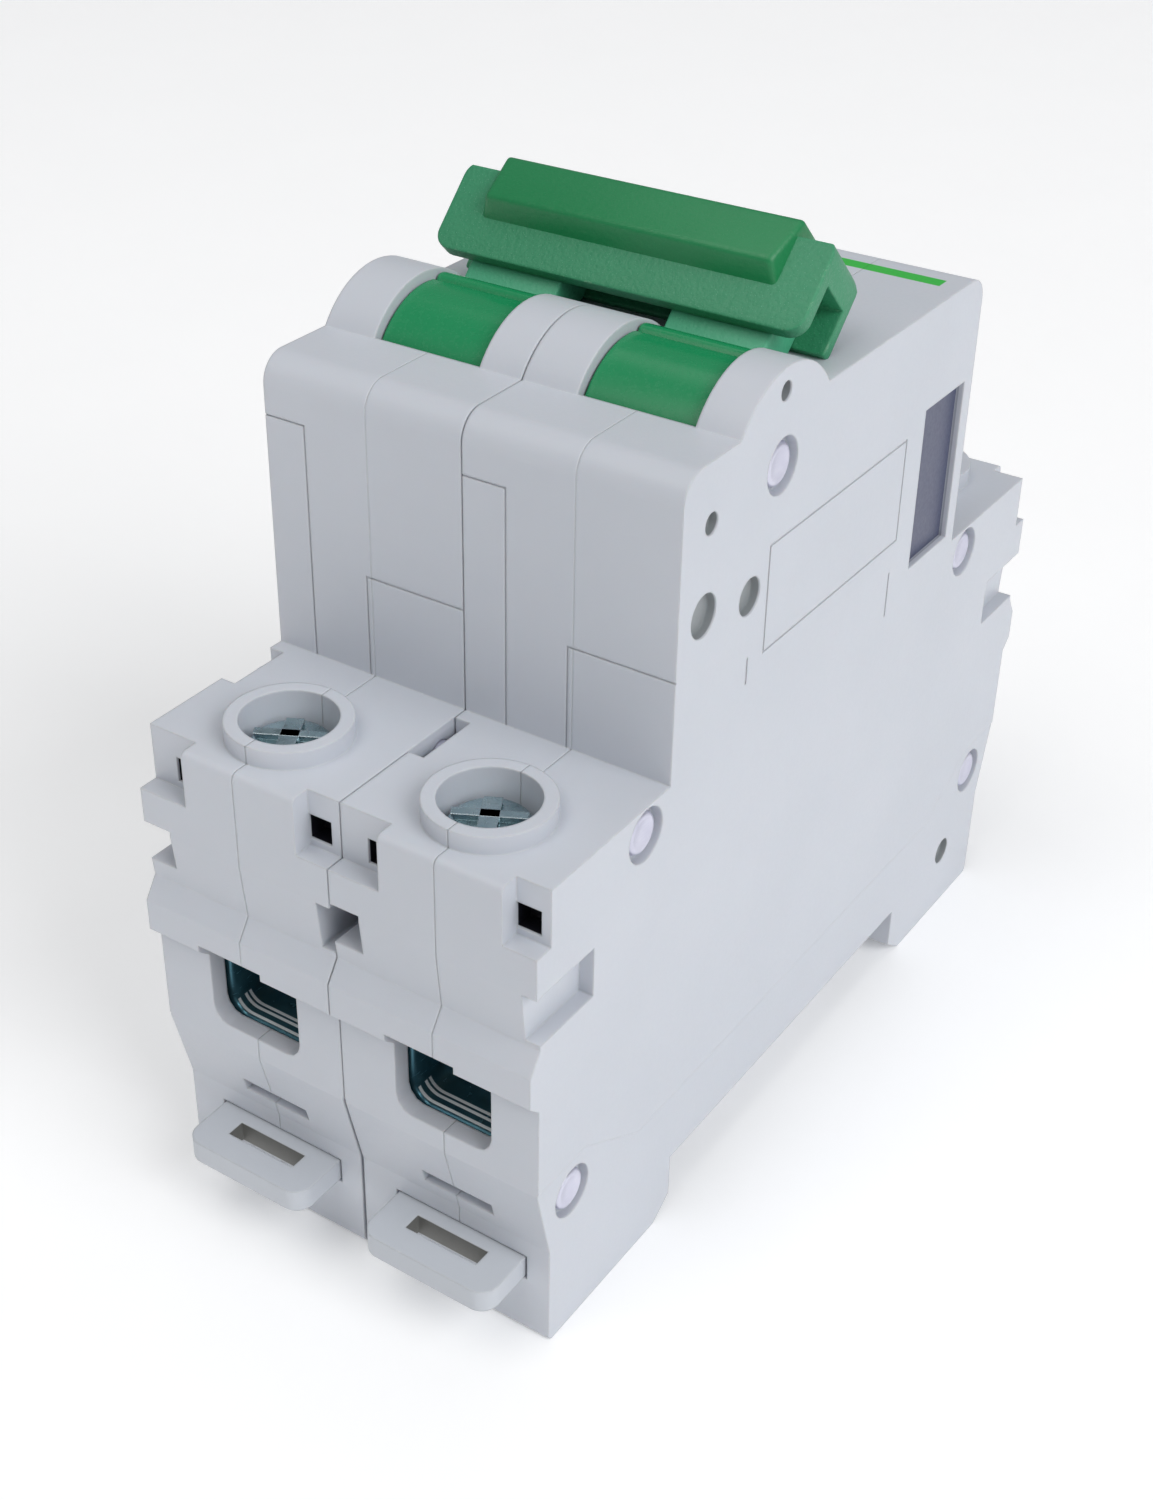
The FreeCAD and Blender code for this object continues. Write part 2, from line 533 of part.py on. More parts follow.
def terminal_plates(pole):
    """Builds the two copper strips that the cable clamps press against."""
    near = new_body(f"{pole}_near_terminal_plate")
    strip = [("-plate_end", "plate_low"), ("-plate_end", "plate_low+plate_thick"),
             ("-19.55", "plate_low+plate_thick"), ("-19.55", "9.0"), ("-21.05", "9.0"),
             ("-21.05", "plate_low")]
    pad(near, "YZ_Plane", strip, "parting-plate_half", "7.0")
    register(near, f"{pole}_near_terminal_plate", (POLES[pole], "0", "0"))
    far = new_body(f"{pole}_far_terminal_plate")
    strip = [("plate_end", "plate_low"), ("plate_end", "plate_low+plate_thick"),
             ("25.2", "plate_low+plate_thick"), ("25.2", "33.0"), ("23.9", "33.0"),
             ("23.9", "plate_low")]
    pad(far, "YZ_Plane", strip, "parting-plate_half", "7.0")
    register(far, f"{pole}_far_terminal_plate", (POLES[pole], "0", "0"))


def terminal(pole, end):
    """Builds one rising cage and its captive screw about the screw's own axis."""
    turn = FreeCAD.Rotation(VECTOR(0, 0, 1), 0 if end == "near" else 180)
    spot = "-terminal_end" if end == "near" else "terminal_end"
    where = (f"{POLES[pole]}+parting", spot, "0")
    cage = new_body(f"{pole}_{end}_terminal_cage")
    block(cage, ("-cage_half", "-cage_deep", "cage_low"), ("cage_half", "cage_deep", "cage_top"))
    block(cage, ("-cage_half+cage_wall", "-5", "cage_low+cage_floor"),
          ("cage_half-cage_wall", "5", "cage_top-cage_cap"), True)
    disc(cage, "z", ("0", "0", "20"), "10", "cage_hole", True)
    corners = [(f"{sign}cage_half", "any", high) for sign in ("-", "")
               for high in ("cage_low", "cage_top")]
    round_edges(cage, corners, "0.9")
    register(cage, f"{pole}_{end}_terminal_cage", where, turn)
    screw = new_body(f"{pole}_{end}_terminal_screw")
    disc(screw, "z", ("0", "0", "screw_low"), "head_seat-screw_low+0.1", "screw_radius")
    disc(screw, "z", ("0", "0", "head_seat+0.05"), "screw_head_high", "screw_head")
    round_edges(screw, [("any", "any", "head_seat+0.05+screw_head_high")], "0.35")
    for low, high in ((("-2.3", "-0.5"), ("2.3", "0.5")), (("-0.5", "-2.3"), ("0.5", "2.3"))):
        block(screw, (*low, "head_seat+0.8"), (*high, "40"), True)
    register(screw, f"{pole}_{end}_terminal_screw", where, turn)


def rail_clip(pole, end):
    """Builds one sliding rail clip with its pull tab and hooked leg."""
    turn = FreeCAD.Rotation(VECTOR(0, 0, 1), 0 if end == "near" else 180)

    body = new_body(f"{pole}_{end}_rail_clip")
    hook = [("-clip_tip", "clip_low"), ("-clip_tip", "clip_low+clip_thick"),
            ("-clip_leg_in", "clip_low+clip_thick"), ("-clip_leg_in", "-clip_lip_high"),
            ("-clip_lip", "-clip_lip_high-0.7"), ("-clip_lip", "-2.6"),
            ("-clip_leg_in", "-clip_leg_low"), ("-clip_leg_out", "-clip_leg_low"),
            ("-clip_leg_out", "clip_low")]
    pad(body, "YZ_Plane", hook, "-clip_half", "12.0")
    round_edges(body, [("-clip_half", "-clip_tip", "any"), ("clip_half", "-clip_tip", "any")], "1.5")
    block(body, ("-3.3", "-40.2", "-1"), ("3.4", "-38.6", "4"), True)
    register(body, f"{pole}_{end}_rail_clip", (f"{POLES[pole]}+clip_middle", "0", "0"), turn)


def case_rivets():
    """Builds the five through rivets, each with a domed head at both sides."""
    rivets = []
    for number, (back, high) in enumerate(RIVET_SPOTS):
        body = new_body(f"case_rivet_{number}")
        disc(body, "x", ("-pole_pitch+0.3", back, high), "pole_pitch+pole_pitch-0.6",
             "rivet_radius")
        disc(body, "x", ("-pole_pitch+0.3", back, high), "0.68", "rivet_head")
        disc(body, "x", ("pole_pitch-0.98", back, high), "0.68", "rivet_head")
        rivets.append(body)
    group = document.addObject("Part::Compound", "case_rivets")
    group.Links = rivets
    register(group, "case_rivets")


def write_parts():
    """Checks every object and writes each sub-part to its own file."""
    document.recompute()
    for item in document.Objects:
        if "Invalid" in item.State or "Error" in item.State:
            raise RuntimeError(f"{item.Label} failed: {item.State}")
    for item in NODES:
        if item.Shape.isNull() or not item.Shape.isValid():
            raise RuntimeError(f"{item.Label} has no valid shape")
        item.Shape.exportStep(f"parts/{item.Label}.step")
        print(item.Label, round(item.Shape.Volume, 1), len(item.Shape.Solids))


for pole_name in POLES:
    shell(pole_name, "left")
    shell(pole_name, "right")
    toggle(pole_name)
    drive_link(pole_name)
    contact_arm(pole_name)
    arc_chute(pole_name)
    trip_coil(pole_name)
    thermal_trip(pole_name)
    terminal_plates(pole_name)
    for end_name in ("near", "far"):
        terminal(pole_name, end_name)
        rail_clip(pole_name, end_name)
tie_bar()
case_rivets()
write_parts()
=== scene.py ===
"""Looks of a two-pole rail-mounted circuit breaker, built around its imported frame."""
import logging
import math
from collections.abc import Callable, Iterable, Sequence
from dataclasses import dataclass, field
from enum import Enum

import bmesh
import bpy
from mathutils import Matrix, Vector


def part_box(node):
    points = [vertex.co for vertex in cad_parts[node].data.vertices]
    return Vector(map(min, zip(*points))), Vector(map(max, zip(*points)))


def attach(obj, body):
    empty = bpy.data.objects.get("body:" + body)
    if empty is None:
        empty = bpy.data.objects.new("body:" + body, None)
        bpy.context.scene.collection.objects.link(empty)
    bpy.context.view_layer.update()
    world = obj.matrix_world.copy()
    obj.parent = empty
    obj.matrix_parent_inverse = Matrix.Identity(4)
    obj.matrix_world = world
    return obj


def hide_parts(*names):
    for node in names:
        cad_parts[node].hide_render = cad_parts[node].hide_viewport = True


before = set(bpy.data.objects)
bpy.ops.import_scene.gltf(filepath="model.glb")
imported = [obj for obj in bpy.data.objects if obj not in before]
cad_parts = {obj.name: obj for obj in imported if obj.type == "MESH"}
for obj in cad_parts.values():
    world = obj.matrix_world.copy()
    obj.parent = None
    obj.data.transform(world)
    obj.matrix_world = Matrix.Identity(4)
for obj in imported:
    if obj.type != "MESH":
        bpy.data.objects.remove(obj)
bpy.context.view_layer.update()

LOG = logging.getLogger("circuit_breaker")
MM = 0.001
Point = tuple[float, float]
Span = tuple[float, float]
Corner = tuple[float, float, float]
Colour = tuple[float, float, float]

CLOUD_SCALE = 55.0
CELLS_PER_GRAIN = 1.7
SPARKLE_SPAN = (0.16, 0.05)
EDGE_TURN_SPAN = (0.995, 0.86)
SCUFF_SCALE = 650.0
SCUFF_SPAN = (0.56, 0.66)
BOX_FADE = 0.00003
STAIN_SCALE = 260.0
SMOOTH_ANGLE = 40.0
ROUND_STEPS = 48


class Pole(Enum):
    """A pole by its side, with the distance of its left face from the seam."""

    LEFT = ("left", -18.0)
    RIGHT = ("right", 0.0)

    @property
    def word(self) -> str:
        """Gives the pole's name as its nodes use it.

        Returns:
            The word "left" or "right".
        """
        return self.value[0]

    @property
    def offset(self) -> float:
        """Gives where the pole begins.

        Returns:
            The distance of the pole's left face from the seam, in millimetres.
        """
        return self.value[1]


class Socket(Enum):
    """The kinds of value that pass in and out of a shader group."""

    NUMBER = "NodeSocketFloat"
    VECTOR = "NodeSocketVector"
    COLOUR = "NodeSocketColor"


class Graph:
    """A short way to fill a node tree."""

    def __init__(self, tree: bpy.types.NodeTree) -> None:
        """Starts on a tree.

        Args:
            tree: The node tree to fill.
        """
        self.tree = tree

    def add(self, kind: str, settings: dict | None = None, inputs: dict | None = None):
        """Adds one node and fills in its settings and inputs.

        Args:
            kind: The node's type name.
            settings: The node's own properties.
            inputs: Values or sockets by input name or number.

        Returns:
            The new node.
        """
        node = self.tree.nodes.new(kind)
        for name, value in (settings or {}).items():
            setattr(node, name, value)
        for name, value in (inputs or {}).items():
            socket = node.inputs[name]
            if isinstance(value, bpy.types.NodeSocket):
                self.tree.links.new(value, socket)
            else:
                socket.default_value = value
        return node

    def math(self, operation: str, first, second=0.0, third=0.0):
        """Adds a math node.

        Args:
            operation: The operation's name.
            first: The first value or socket.
            second: The second value or socket.
            third: The third value or socket.

        Returns:
            The node's output socket.
        """
        settings = {"operation": operation}
        return self.add("ShaderNodeMath", settings, {0: first, 1: second, 2: third}).outputs[0]

    def mix(self, factor, first, second):
        """Mixes two colours.

        Args:
            factor: How much of the second colour shows.
            first: The first colour or socket.
            second: The second colour or socket.

        Returns:
            The mixed colour's socket.
        """
        settings = {"data_type": "RGBA"}
        node = self.add("ShaderNodeMix", settings, {"Factor": factor, 6: first, 7: second})
        return node.outputs[2]

    def span(self, value, low: float, high: float, start: float = 0.0, end: float = 1.0):
        """Maps a value's range onto another, and holds it at the ends.

        Args:
            value: The socket to map.
            low: The value that gives start.
            high: The value that gives end.
            start: The result at low.
            end: The result at high.

        Returns:
            The mapped value's socket.
        """
        keys = {"Value": value, "From Min": low, "From Max": high, "To Min": start, "To Max": end}
        return self.add("ShaderNodeMapRange", None, keys).outputs[0]

    def noise(self, vector, scale: float, detail: float = 3.0, roughness: float = 0.55):
        """Adds a noise texture.

        Args:
            vector: The socket of the coordinates.
            scale: The noise's scale.
            detail: The noise's detail.
            roughness: The noise's roughness.

        Returns:
            The socket of its value.
        """
        keys = {"Vector": vector, "Scale": scale, "Detail": detail, "Roughness": roughness}
        return self.add("ShaderNodeTexNoise", None, keys).outputs[0]


def shader_group(name: str, inputs: dict[str, tuple[Socket, float]],
                 outputs: dict[str, Socket],
                 fill: Callable[[Graph, bpy.types.Node], dict]) -> bpy.types.NodeTree:
    """Builds a shader node group, or gives the one that is there.

    Args:
        name: The group's name.
        inputs: Each input's kind and starting value.
        outputs: Each output's kind.
        fill: Fills the group and gives each output's socket by name.

    Returns:
        The node group.
    """
    if name in bpy.data.node_groups:
        return bpy.data.node_groups[name]
    tree = bpy.data.node_groups.new(name, "ShaderNodeTree")
    for label, (kind, value) in inputs.items():
        socket = tree.interface.new_socket(label, in_out="INPUT", socket_type=kind.value)
        socket.default_value = value
    for label, kind in outputs.items():
        tree.interface.new_socket(label, in_out="OUTPUT", socket_type=kind.value)
    graph = Graph(tree)
    entry = graph.add("NodeGroupInput")
    graph.add("NodeGroupOutput", None, fill(graph, entry))
    return tree


def fill_grain(graph: Graph, entry: bpy.types.Node) -> dict:
    """Fills the moulded grain: cloudy tone, fine sparkle and a bump height.

    Args:
        graph: The group's graph.
        entry: The group's input node.

    Returns:
        The group's output sockets by name.
    """
    place = graph.add("ShaderNodeTexCoord").outputs["Object"]
    scale = entry.outputs["Grain Scale"]
    cloud = graph.noise(place, CLOUD_SCALE, 4.0)
    fine = graph.add("ShaderNodeTexNoise", None,
                     {"Vector": place, "Scale": scale, "Detail": 2.0, "Roughness": 0.6}).outputs[0]
    cells = graph.add("ShaderNodeTexVoronoi", {"feature": "F1"},
                      {"Vector": place, "Scale": graph.math("MULTIPLY", scale, CELLS_PER_GRAIN)}).outputs[0]
    sparkle = graph.span(cells, *SPARKLE_SPAN)
    height = graph.math("ADD", fine, graph.math("MULTIPLY", sparkle, 0.5))
    return {"Tone": cloud, "Fine": fine, "Sparkle": sparkle, "Height": height}


def fill_edges(graph: Graph, entry: bpy.types.Node) -> dict:
    """Fills the rounded edge: a softened normal and a mask of the edge itself.

    Args:
        graph: The group's graph.
        entry: The group's input node.

    Returns:
        The group's output sockets by name.
    """
    soft = graph.add("ShaderNodeBevel", {"samples": 6}, {"Radius": entry.outputs["Radius"]}).outputs[0]
    flat = graph.add("ShaderNodeNewGeometry").outputs["Normal"]
    close = graph.add("ShaderNodeVectorMath", {"operation": "DOT_PRODUCT"}, {0: soft, 1: flat})
    mask = graph.span(close.outputs["Value"], *EDGE_TURN_SPAN)
    place = graph.add("ShaderNodeTexCoord").outputs["Object"]
    patchy = graph.span(graph.noise(place, SCUFF_SCALE, 4.0, 0.7), *SCUFF_SPAN)
    return {"Normal": soft, "Mask": mask, "Worn": graph.math("MULTIPLY", mask, patchy)}


def fill_box(graph: Graph, entry: bpy.types.Node) -> dict:
    """Fills a mask that is one inside a box of the part's own coordinates.

    Args:
        graph: The group's graph.
        entry: The group's input node.

    Returns:
        The group's output sockets by name.
    """
    place = graph.add("ShaderNodeTexCoord").outputs["Object"]
    spots = graph.add("ShaderNodeSeparateXYZ", None, {0: place}).outputs
    folded = graph.math("SUBTRACT", graph.math("ABSOLUTE", spots[0]), spots[0])
    across = graph.math("MULTIPLY_ADD", folded, entry.outputs["Both Sides"], spots[0])
    place = graph.add("ShaderNodeCombineXYZ", None, {0: across, 1: spots[1], 2: spots[2]}).outputs[0]
    apart = graph.add("ShaderNodeVectorMath", {"operation": "SUBTRACT"},
                      {0: place, 1: entry.outputs["Middle"]})
    size = graph.add("ShaderNodeVectorMath", {"operation": "ABSOLUTE"}, {0: apart.outputs[0]})
    left = graph.add("ShaderNodeVectorMath", {"operation": "SUBTRACT"},
                     {0: entry.outputs["Half Size"], 1: size.outputs[0]})
    axes = graph.add("ShaderNodeSeparateXYZ", None, {0: left.outputs[0]}).outputs
    least = graph.math("MINIMUM", graph.math("MINIMUM", axes[0], axes[1]), axes[2])
    return {"Mask": graph.span(least, -BOX_FADE, BOX_FADE)}


def grain_group() -> bpy.types.NodeTree:
    """Gives the shared grain group.

    Returns:
        The node group.
    """
    outputs = {"Tone": Socket.NUMBER, "Fine": Socket.NUMBER,
               "Sparkle": Socket.NUMBER, "Height": Socket.NUMBER}
    return shader_group("moulded_grain", {"Grain Scale": (Socket.NUMBER, 2500.0)}, outputs, fill_grain)


def edge_group() -> bpy.types.NodeTree:
    """Gives the shared edge group.

    Returns:
        The node group.
    """
    outputs = {"Normal": Socket.VECTOR, "Mask": Socket.NUMBER, "Worn": Socket.NUMBER}
    return shader_group("rounded_edge", {"Radius": (Socket.NUMBER, 0.00025)}, outputs, fill_edges)


def box_group() -> bpy.types.NodeTree:
    """Gives the shared box mask group.

    Returns:
        The node group.
    """
    nowhere = (0.0, 0.0, 0.0)
    inputs = {"Middle": (Socket.VECTOR, nowhere), "Half Size": (Socket.VECTOR, nowhere),
              "Both Sides": (Socket.NUMBER, 0.0)}
    return shader_group("box_mask", inputs, {"Mask": Socket.NUMBER}, fill_box)


@dataclass(frozen=True)
class Patch:
    """A printed area, painted shade or painted highlight inside a box, with its corners in millimetres."""

    low: Corner
    high: Corner
    colour: Colour
    both_sides: bool = False

    def mask(self, graph: Graph):
        """Adds this area's mask.

        Args:
            graph: The material's graph.

        Returns:
            The mask's socket.
        """
        middle = tuple((a + b) / 2 * MM for a, b in zip(self.low, self.high))
        half = tuple((b - a) / 2 * MM for a, b in zip(self.low, self.high))
        node = graph.add("ShaderNodeGroup", {"node_tree": box_group()},
                         {"Middle": middle, "Half Size": half, "Both Sides": float(self.both_sides)})
        return node.outputs["Mask"]


@dataclass(frozen=True)
class Plastic:
    """A moulded plastic: colour, cloudiness, grain, sparkle and softened edges."""

    name: str
    colour: Colour
    shade: Colour
    edge_colour: Colour
    roughness: float = 0.42
    grain_scale: float = 2500.0
    grain_depth: float = 0.06
    sparkle: float = 0.0
    sparkle_colour: Colour = (0.5, 0.8, 0.6)
    edge_radius: float = 0.25
    worn_colour: Colour = (0.80, 0.82, 0.82)
    worn: float = 0.0
    subsurface: float = 0.0
    subsurface_reach: float = 0.002
    refraction: float = 1.5
    cloud_span: Span = (0.3, 0.7)
    fine_span: Span = (0.25, 0.75)
    rough_spread: Span = (-0.06, 0.08)
    edge_tint: float = 0.55
    bump_height: float = 0.0002
    patches: tuple[Patch, ...] = ()

    def material(self) -> bpy.types.Material:
        """Builds the material, or gives the one that is there.

        Returns:
            The material.
        """
        name = f"{self.name}_finish"
        if name in bpy.data.materials:
            return bpy.data.materials[name]
        material = bpy.data.materials.new(name)
        material.use_nodes = True
        graph = Graph(material.node_tree)
        surface = material.node_tree.nodes["Principled BSDF"]
        grain = graph.add("ShaderNodeGroup", {"node_tree": grain_group()},
                          {"Grain Scale": self.grain_scale}).outputs
        edge = graph.add("ShaderNodeGroup", {"node_tree": edge_group()},
                         {"Radius": self.edge_radius * MM}).outputs
        tone = graph.span(grain["Tone"], *self.cloud_span)
        colour = graph.mix(tone, (*self.colour, 1.0), (*self.shade, 1.0))
        rim = graph.math("MULTIPLY", edge["Mask"], self.edge_tint)
        colour = graph.mix(rim, colour, (*self.edge_colour, 1.0))
        if self.worn:
            scuff = graph.math("MULTIPLY", edge["Worn"], self.worn)
            colour = graph.mix(scuff, colour, (*self.worn_colour, 1.0))
        if self.sparkle:
            fleck = graph.math("MULTIPLY", grain["Sparkle"], self.sparkle)
            colour = graph.mix(fleck, colour, (*self.sparkle_colour, 1.0))
        # Patches: the green stripe is print; the others are painted shade in holes, slots and the side
        # window recess.
        for patch in self.patches:
            colour = graph.mix(patch.mask(graph), colour, (*patch.colour, 1.0))
        smoothest, roughest = (self.roughness + spread for spread in self.rough_spread)
        rough = graph.span(grain["Fine"], *self.fine_span, smoothest, roughest)
        bump = graph.add("ShaderNodeBump", None, {"Strength": self.grain_depth, "Distance": self.bump_height,
                                                  "Height": grain["Height"], "Normal": edge["Normal"]})
        links = material.node_tree.links
        links.new(colour, surface.inputs["Base Color"])
        links.new(rough, surface.inputs["Roughness"])
        links.new(bump.outputs[0], surface.inputs["Normal"])
        surface.inputs["IOR"].default_value = self.refraction
        surface.inputs["Subsurface Weight"].default_value = self.subsurface
        surface.inputs["Subsurface Scale"].default_value = self.subsurface_reach
        return material


@dataclass(frozen=True)
class Metal:
    """A bare or plated metal: colour, brushing, stains, lighter edges and painted patches; on the cage these
    are painted highlights.
    """

    name: str
    colour: Colour
    stain: Colour
    edge_colour: Colour
    roughness: float = 0.3
    brush: tuple[float, float, float] = (1.0, 1.0, 12.0)
    brush_scale: float = 900.0
    brush_depth: float = 0.08
    edge_radius: float = 0.12
    metallic: float = 1.0
    stain_span: Span = (0.35, 0.7)
    line_span: Span = (0.3, 0.7)
    rough_spread: Span = (-0.08, 0.12)
    edge_tint: float = 0.6
    bump_height: float = 0.0001
    patches: tuple[Patch, ...] = ()

    def material(self) -> bpy.types.Material:
        """Builds the material, or gives the one that is there.

        Returns:
            The material.
        """
        name = f"{self.name}_finish"
        if name in bpy.data.materials:
            return bpy.data.materials[name]
        material = bpy.data.materials.new(name)
        material.use_nodes = True
        graph = Graph(material.node_tree)
        surface = material.node_tree.nodes["Principled BSDF"]
        place = graph.add("ShaderNodeTexCoord").outputs["Object"]
        long = graph.add("ShaderNodeMapping", None, {"Vector": place, "Scale": self.brush}).outputs[0]
        lines = graph.noise(long, self.brush_scale, 3.0)
        cloud = graph.noise(place, STAIN_SCALE, 4.0)
        edge = graph.add("ShaderNodeGroup", {"node_tree": edge_group()},
                         {"Radius": self.edge_radius * MM}).outputs
        stained = graph.span(cloud, *self.stain_span)
        colour = graph.mix(stained, (*self.colour, 1.0), (*self.stain, 1.0))
        # Lighter edge colour; on the cage it is a painted highlight along the rims.
        rim = graph.math("MULTIPLY", edge["Mask"], self.edge_tint)
        colour = graph.mix(rim, colour, (*self.edge_colour, 1.0))
        links = material.node_tree.links
        surface.inputs["Metallic"].default_value = self.metallic
        metallic = self.metallic
        # Patches paint flat, non-metallic colour; on the cage they are painted highlight streaks.
        for patch in self.patches:
            mask = patch.mask(graph)
            colour = graph.mix(mask, colour, (*patch.colour, 1.0))
            metallic = graph.math("MULTIPLY", metallic, graph.math("SUBTRACT", 1.0, mask))
            links.new(metallic, surface.inputs["Metallic"])
        smoothest, roughest = (self.roughness + spread for spread in self.rough_spread)
        rough = graph.span(lines, *self.line_span, smoothest, roughest)
        bump = graph.add("ShaderNodeBump", None, {"Strength": self.brush_depth, "Distance": self.bump_height,
                                                  "Height": lines, "Normal": edge["Normal"]})
        links.new(colour, surface.inputs["Base Color"])
        links.new(rough, surface.inputs["Roughness"])
        links.new(bump.outputs[0], surface.inputs["Normal"])
        return material


STRIPE = Patch((-18.5, 18.2, 61.3), (16.2, 19.6, 62.2), (0.03, 0.46, 0.05))
# Painted shade: a dark tone on the floor of the side window recess, on both sides.
SIDE_WINDOW_SHADE = Patch((17.1, 14.4, 39.0), (17.5, 21.5, 53.1), (0.080, 0.090, 0.150), True)
# Painted shade: a darker tone on the floors of the side holes, for the shade inside them.
SIDE_HOLE_SHADE = tuple(Patch((17.1, back - radius - 0.1, high - radius - 0.1),
                         (17.8, back + radius + 0.1, high + radius + 0.1), (0.30, 0.32, 0.33), True)
                   for back, high, radius in ((-9.75, 63.3, 0.75), (-19.2, 57.1, 0.85), (-19.6, 50.2, 1.7),
                                              (-13.1, 48.8, 1.5), (30.5, 0.9, 1.3)))
# Painted shadow: near-black colour inside the four square holes on the near side.
POCKET_SHADOWS = tuple(Patch((pole.offset + side - 1.1, -37.7, 33.7), (pole.offset + side + 1.1, -30.0, 36.0),
                      (0.006, 0.006, 0.010)) for pole in Pole for side in (3.52, 16.12))
# Painted highlights: near-white, non-metallic streaks across the floor of each terminal cage, standing for
# reflections along its rim.
RIM_HIGHLIGHTS = tuple(Patch((pole.offset + 4.6, side * depth - 0.15, 11.0),
                          (pole.offset + 12.6, side * depth + 0.15, 13.2), (0.92, 0.97, 0.98))
                    for pole in Pole for side in (-1, 1) for depth in (36.4, 35.6, 35.1))
# Painted shade: a darker tone at the bottom of each rail clip's tab slot.
CLIP_SLOT_SHADE = tuple(Patch((pole.offset + 6.1, side * 39.4 - 1.0, 0.3),
                         (pole.offset + 13.2, side * 39.4 + 1.0, 2.12), (0.17, 0.17, 0.16))
                   for pole in Pole for side in (-1, 1))
HOUSING = Plastic("housing_plastic", (0.580, 0.605, 0.655), (0.550, 0.577, 0.627), (0.70, 0.72, 0.74),
                  roughness=0.40, grain_scale=3200.0, grain_depth=0.05, subsurface=0.04, worn=0.35,
                  patches=(STRIPE, SIDE_WINDOW_SHADE, *SIDE_HOLE_SHADE, *POCKET_SHADOWS))
CLIP = Plastic("clip_plastic", (0.555, 0.582, 0.625), (0.52, 0.548, 0.59), (0.68, 0.70, 0.72),
               roughness=0.45, grain_scale=3200.0, grain_depth=0.06, worn=0.4, patches=CLIP_SLOT_SHADE)
GREEN_TEXTURED = Plastic("green_textured_plastic", (0.036, 0.262, 0.128), (0.027, 0.228, 0.104),
                         (0.050, 0.38, 0.17), roughness=0.44, grain_scale=3000.0, grain_depth=0.28,
                         sparkle=0.75, sparkle_colour=(0.22, 0.55, 0.38), edge_radius=0.3,
                         worn_colour=(0.45, 0.62, 0.45), worn=0.55)
# Painted light: a lighter copy of the toggle green for the blades, which stand in the bar's shade.
GREEN_BLADE_PAINTED_LIGHT = Plastic("green_blade_painted_light", (0.090, 0.47, 0.27), (0.072, 0.42, 0.23),
                      (0.10, 0.50, 0.30), roughness=0.46, grain_scale=3000.0, grain_depth=0.28,
                      sparkle=0.6, sparkle_colour=(0.30, 0.68, 0.50), edge_radius=0.2)
GREEN_GRIP = Plastic("green_grip_plastic", (0.008, 0.215, 0.070), (0.006, 0.19, 0.060),
                     (0.03, 0.34, 0.13), roughness=0.36, grain_scale=3000.0, grain_depth=0.14,
                     sparkle=0.25, sparkle_colour=(0.12, 0.45, 0.26), edge_radius=0.4,
                     worn_colour=(0.55, 0.70, 0.50), worn=0.8)
GREEN_SMOOTH = Plastic("green_smooth_plastic", (0.008, 0.265, 0.095), (0.005, 0.235, 0.082),
                       (0.02, 0.36, 0.14), roughness=0.24, grain_scale=2600.0, grain_depth=0.015,
                       edge_radius=0.2)
BLACK = Plastic("black_nylon", (0.012, 0.012, 0.013), (0.02, 0.02, 0.021), (0.05, 0.05, 0.05),
                roughness=0.5, grain_depth=0.1)
FIBRE = Plastic("red_fibre", (0.22, 0.06, 0.025), (0.17, 0.045, 0.02), (0.3, 0.1, 0.05),
                roughness=0.65, grain_depth=0.15)
ZINC = Metal("zinc_screw", (0.42, 0.53, 0.56), (0.28, 0.40, 0.44), (0.80, 0.86, 0.88), roughness=0.24)
RIVET = Metal("rivet_steel", (0.70, 0.70, 0.80), (0.60, 0.60, 0.72), (0.90, 0.90, 0.95), roughness=0.38,
              metallic=0.75)
# The cage's near-white edge colour is a painted highlight along its rims.
CAGE = Metal("cage_steel", (0.09, 0.25, 0.31), (0.05, 0.17, 0.23), (0.85, 0.95, 0.96), roughness=0.17,
             edge_radius=0.35, metallic=0.65, patches=RIM_HIGHLIGHTS)
STEEL = Metal("plain_steel", (0.45, 0.45, 0.46), (0.36, 0.36, 0.37), (0.7, 0.7, 0.7), roughness=0.35)
COPPER = Metal("bare_copper", (0.72, 0.32, 0.17), (0.55, 0.22, 0.11), (0.85, 0.45, 0.28), roughness=0.32)
SILVER = Metal("silver_tip", (0.78, 0.77, 0.73), (0.66, 0.64, 0.6), (0.9, 0.9, 0.88), roughness=0.25)
BIMETAL = Metal("rolled_bimetal", (0.52, 0.48, 0.40), (0.42, 0.37, 0.29), (0.7, 0.66, 0.58), roughness=0.33)
FLOOR_PAINT = Plastic("floor_paint", (0.96, 0.96, 0.96), (0.95, 0.95, 0.95), (0.96, 0.96, 0.96),
                      roughness=0.75, grain_scale=400.0, grain_depth=0.02)

NODE_FINISHES: tuple[tuple[str, Plastic | Metal], ...] = (
    ("_shell", HOUSING), ("_rail_clip", CLIP), ("_terminal_cage", CAGE), ("_terminal_screw", ZINC),
    ("_terminal_plate", COPPER), ("_toggle", GREEN_SMOOTH), ("handle_tie_bar", GREEN_TEXTURED),
    ("case_rivets", RIVET), ("_drive_link", STEEL), ("_contact_arm", COPPER),
    ("_moving_contact", SILVER), ("_fixed_contact_tip", SILVER), ("_fixed_contact", COPPER),
    ("_arm_pin", STEEL), ("_arc_chute_frame", FIBRE), ("_arc_plates", STEEL), ("_arc_runner", COPPER),
    ("_coil_bobbin", BLACK), ("_coil_winding", COPPER), ("_coil_core", STEEL), ("_plunger_spring", STEEL),
    ("_trip_plunger", STEEL), ("_coil_yoke", STEEL), ("_bimetal_strip", BIMETAL), ("_trip_lever", BLACK),
)


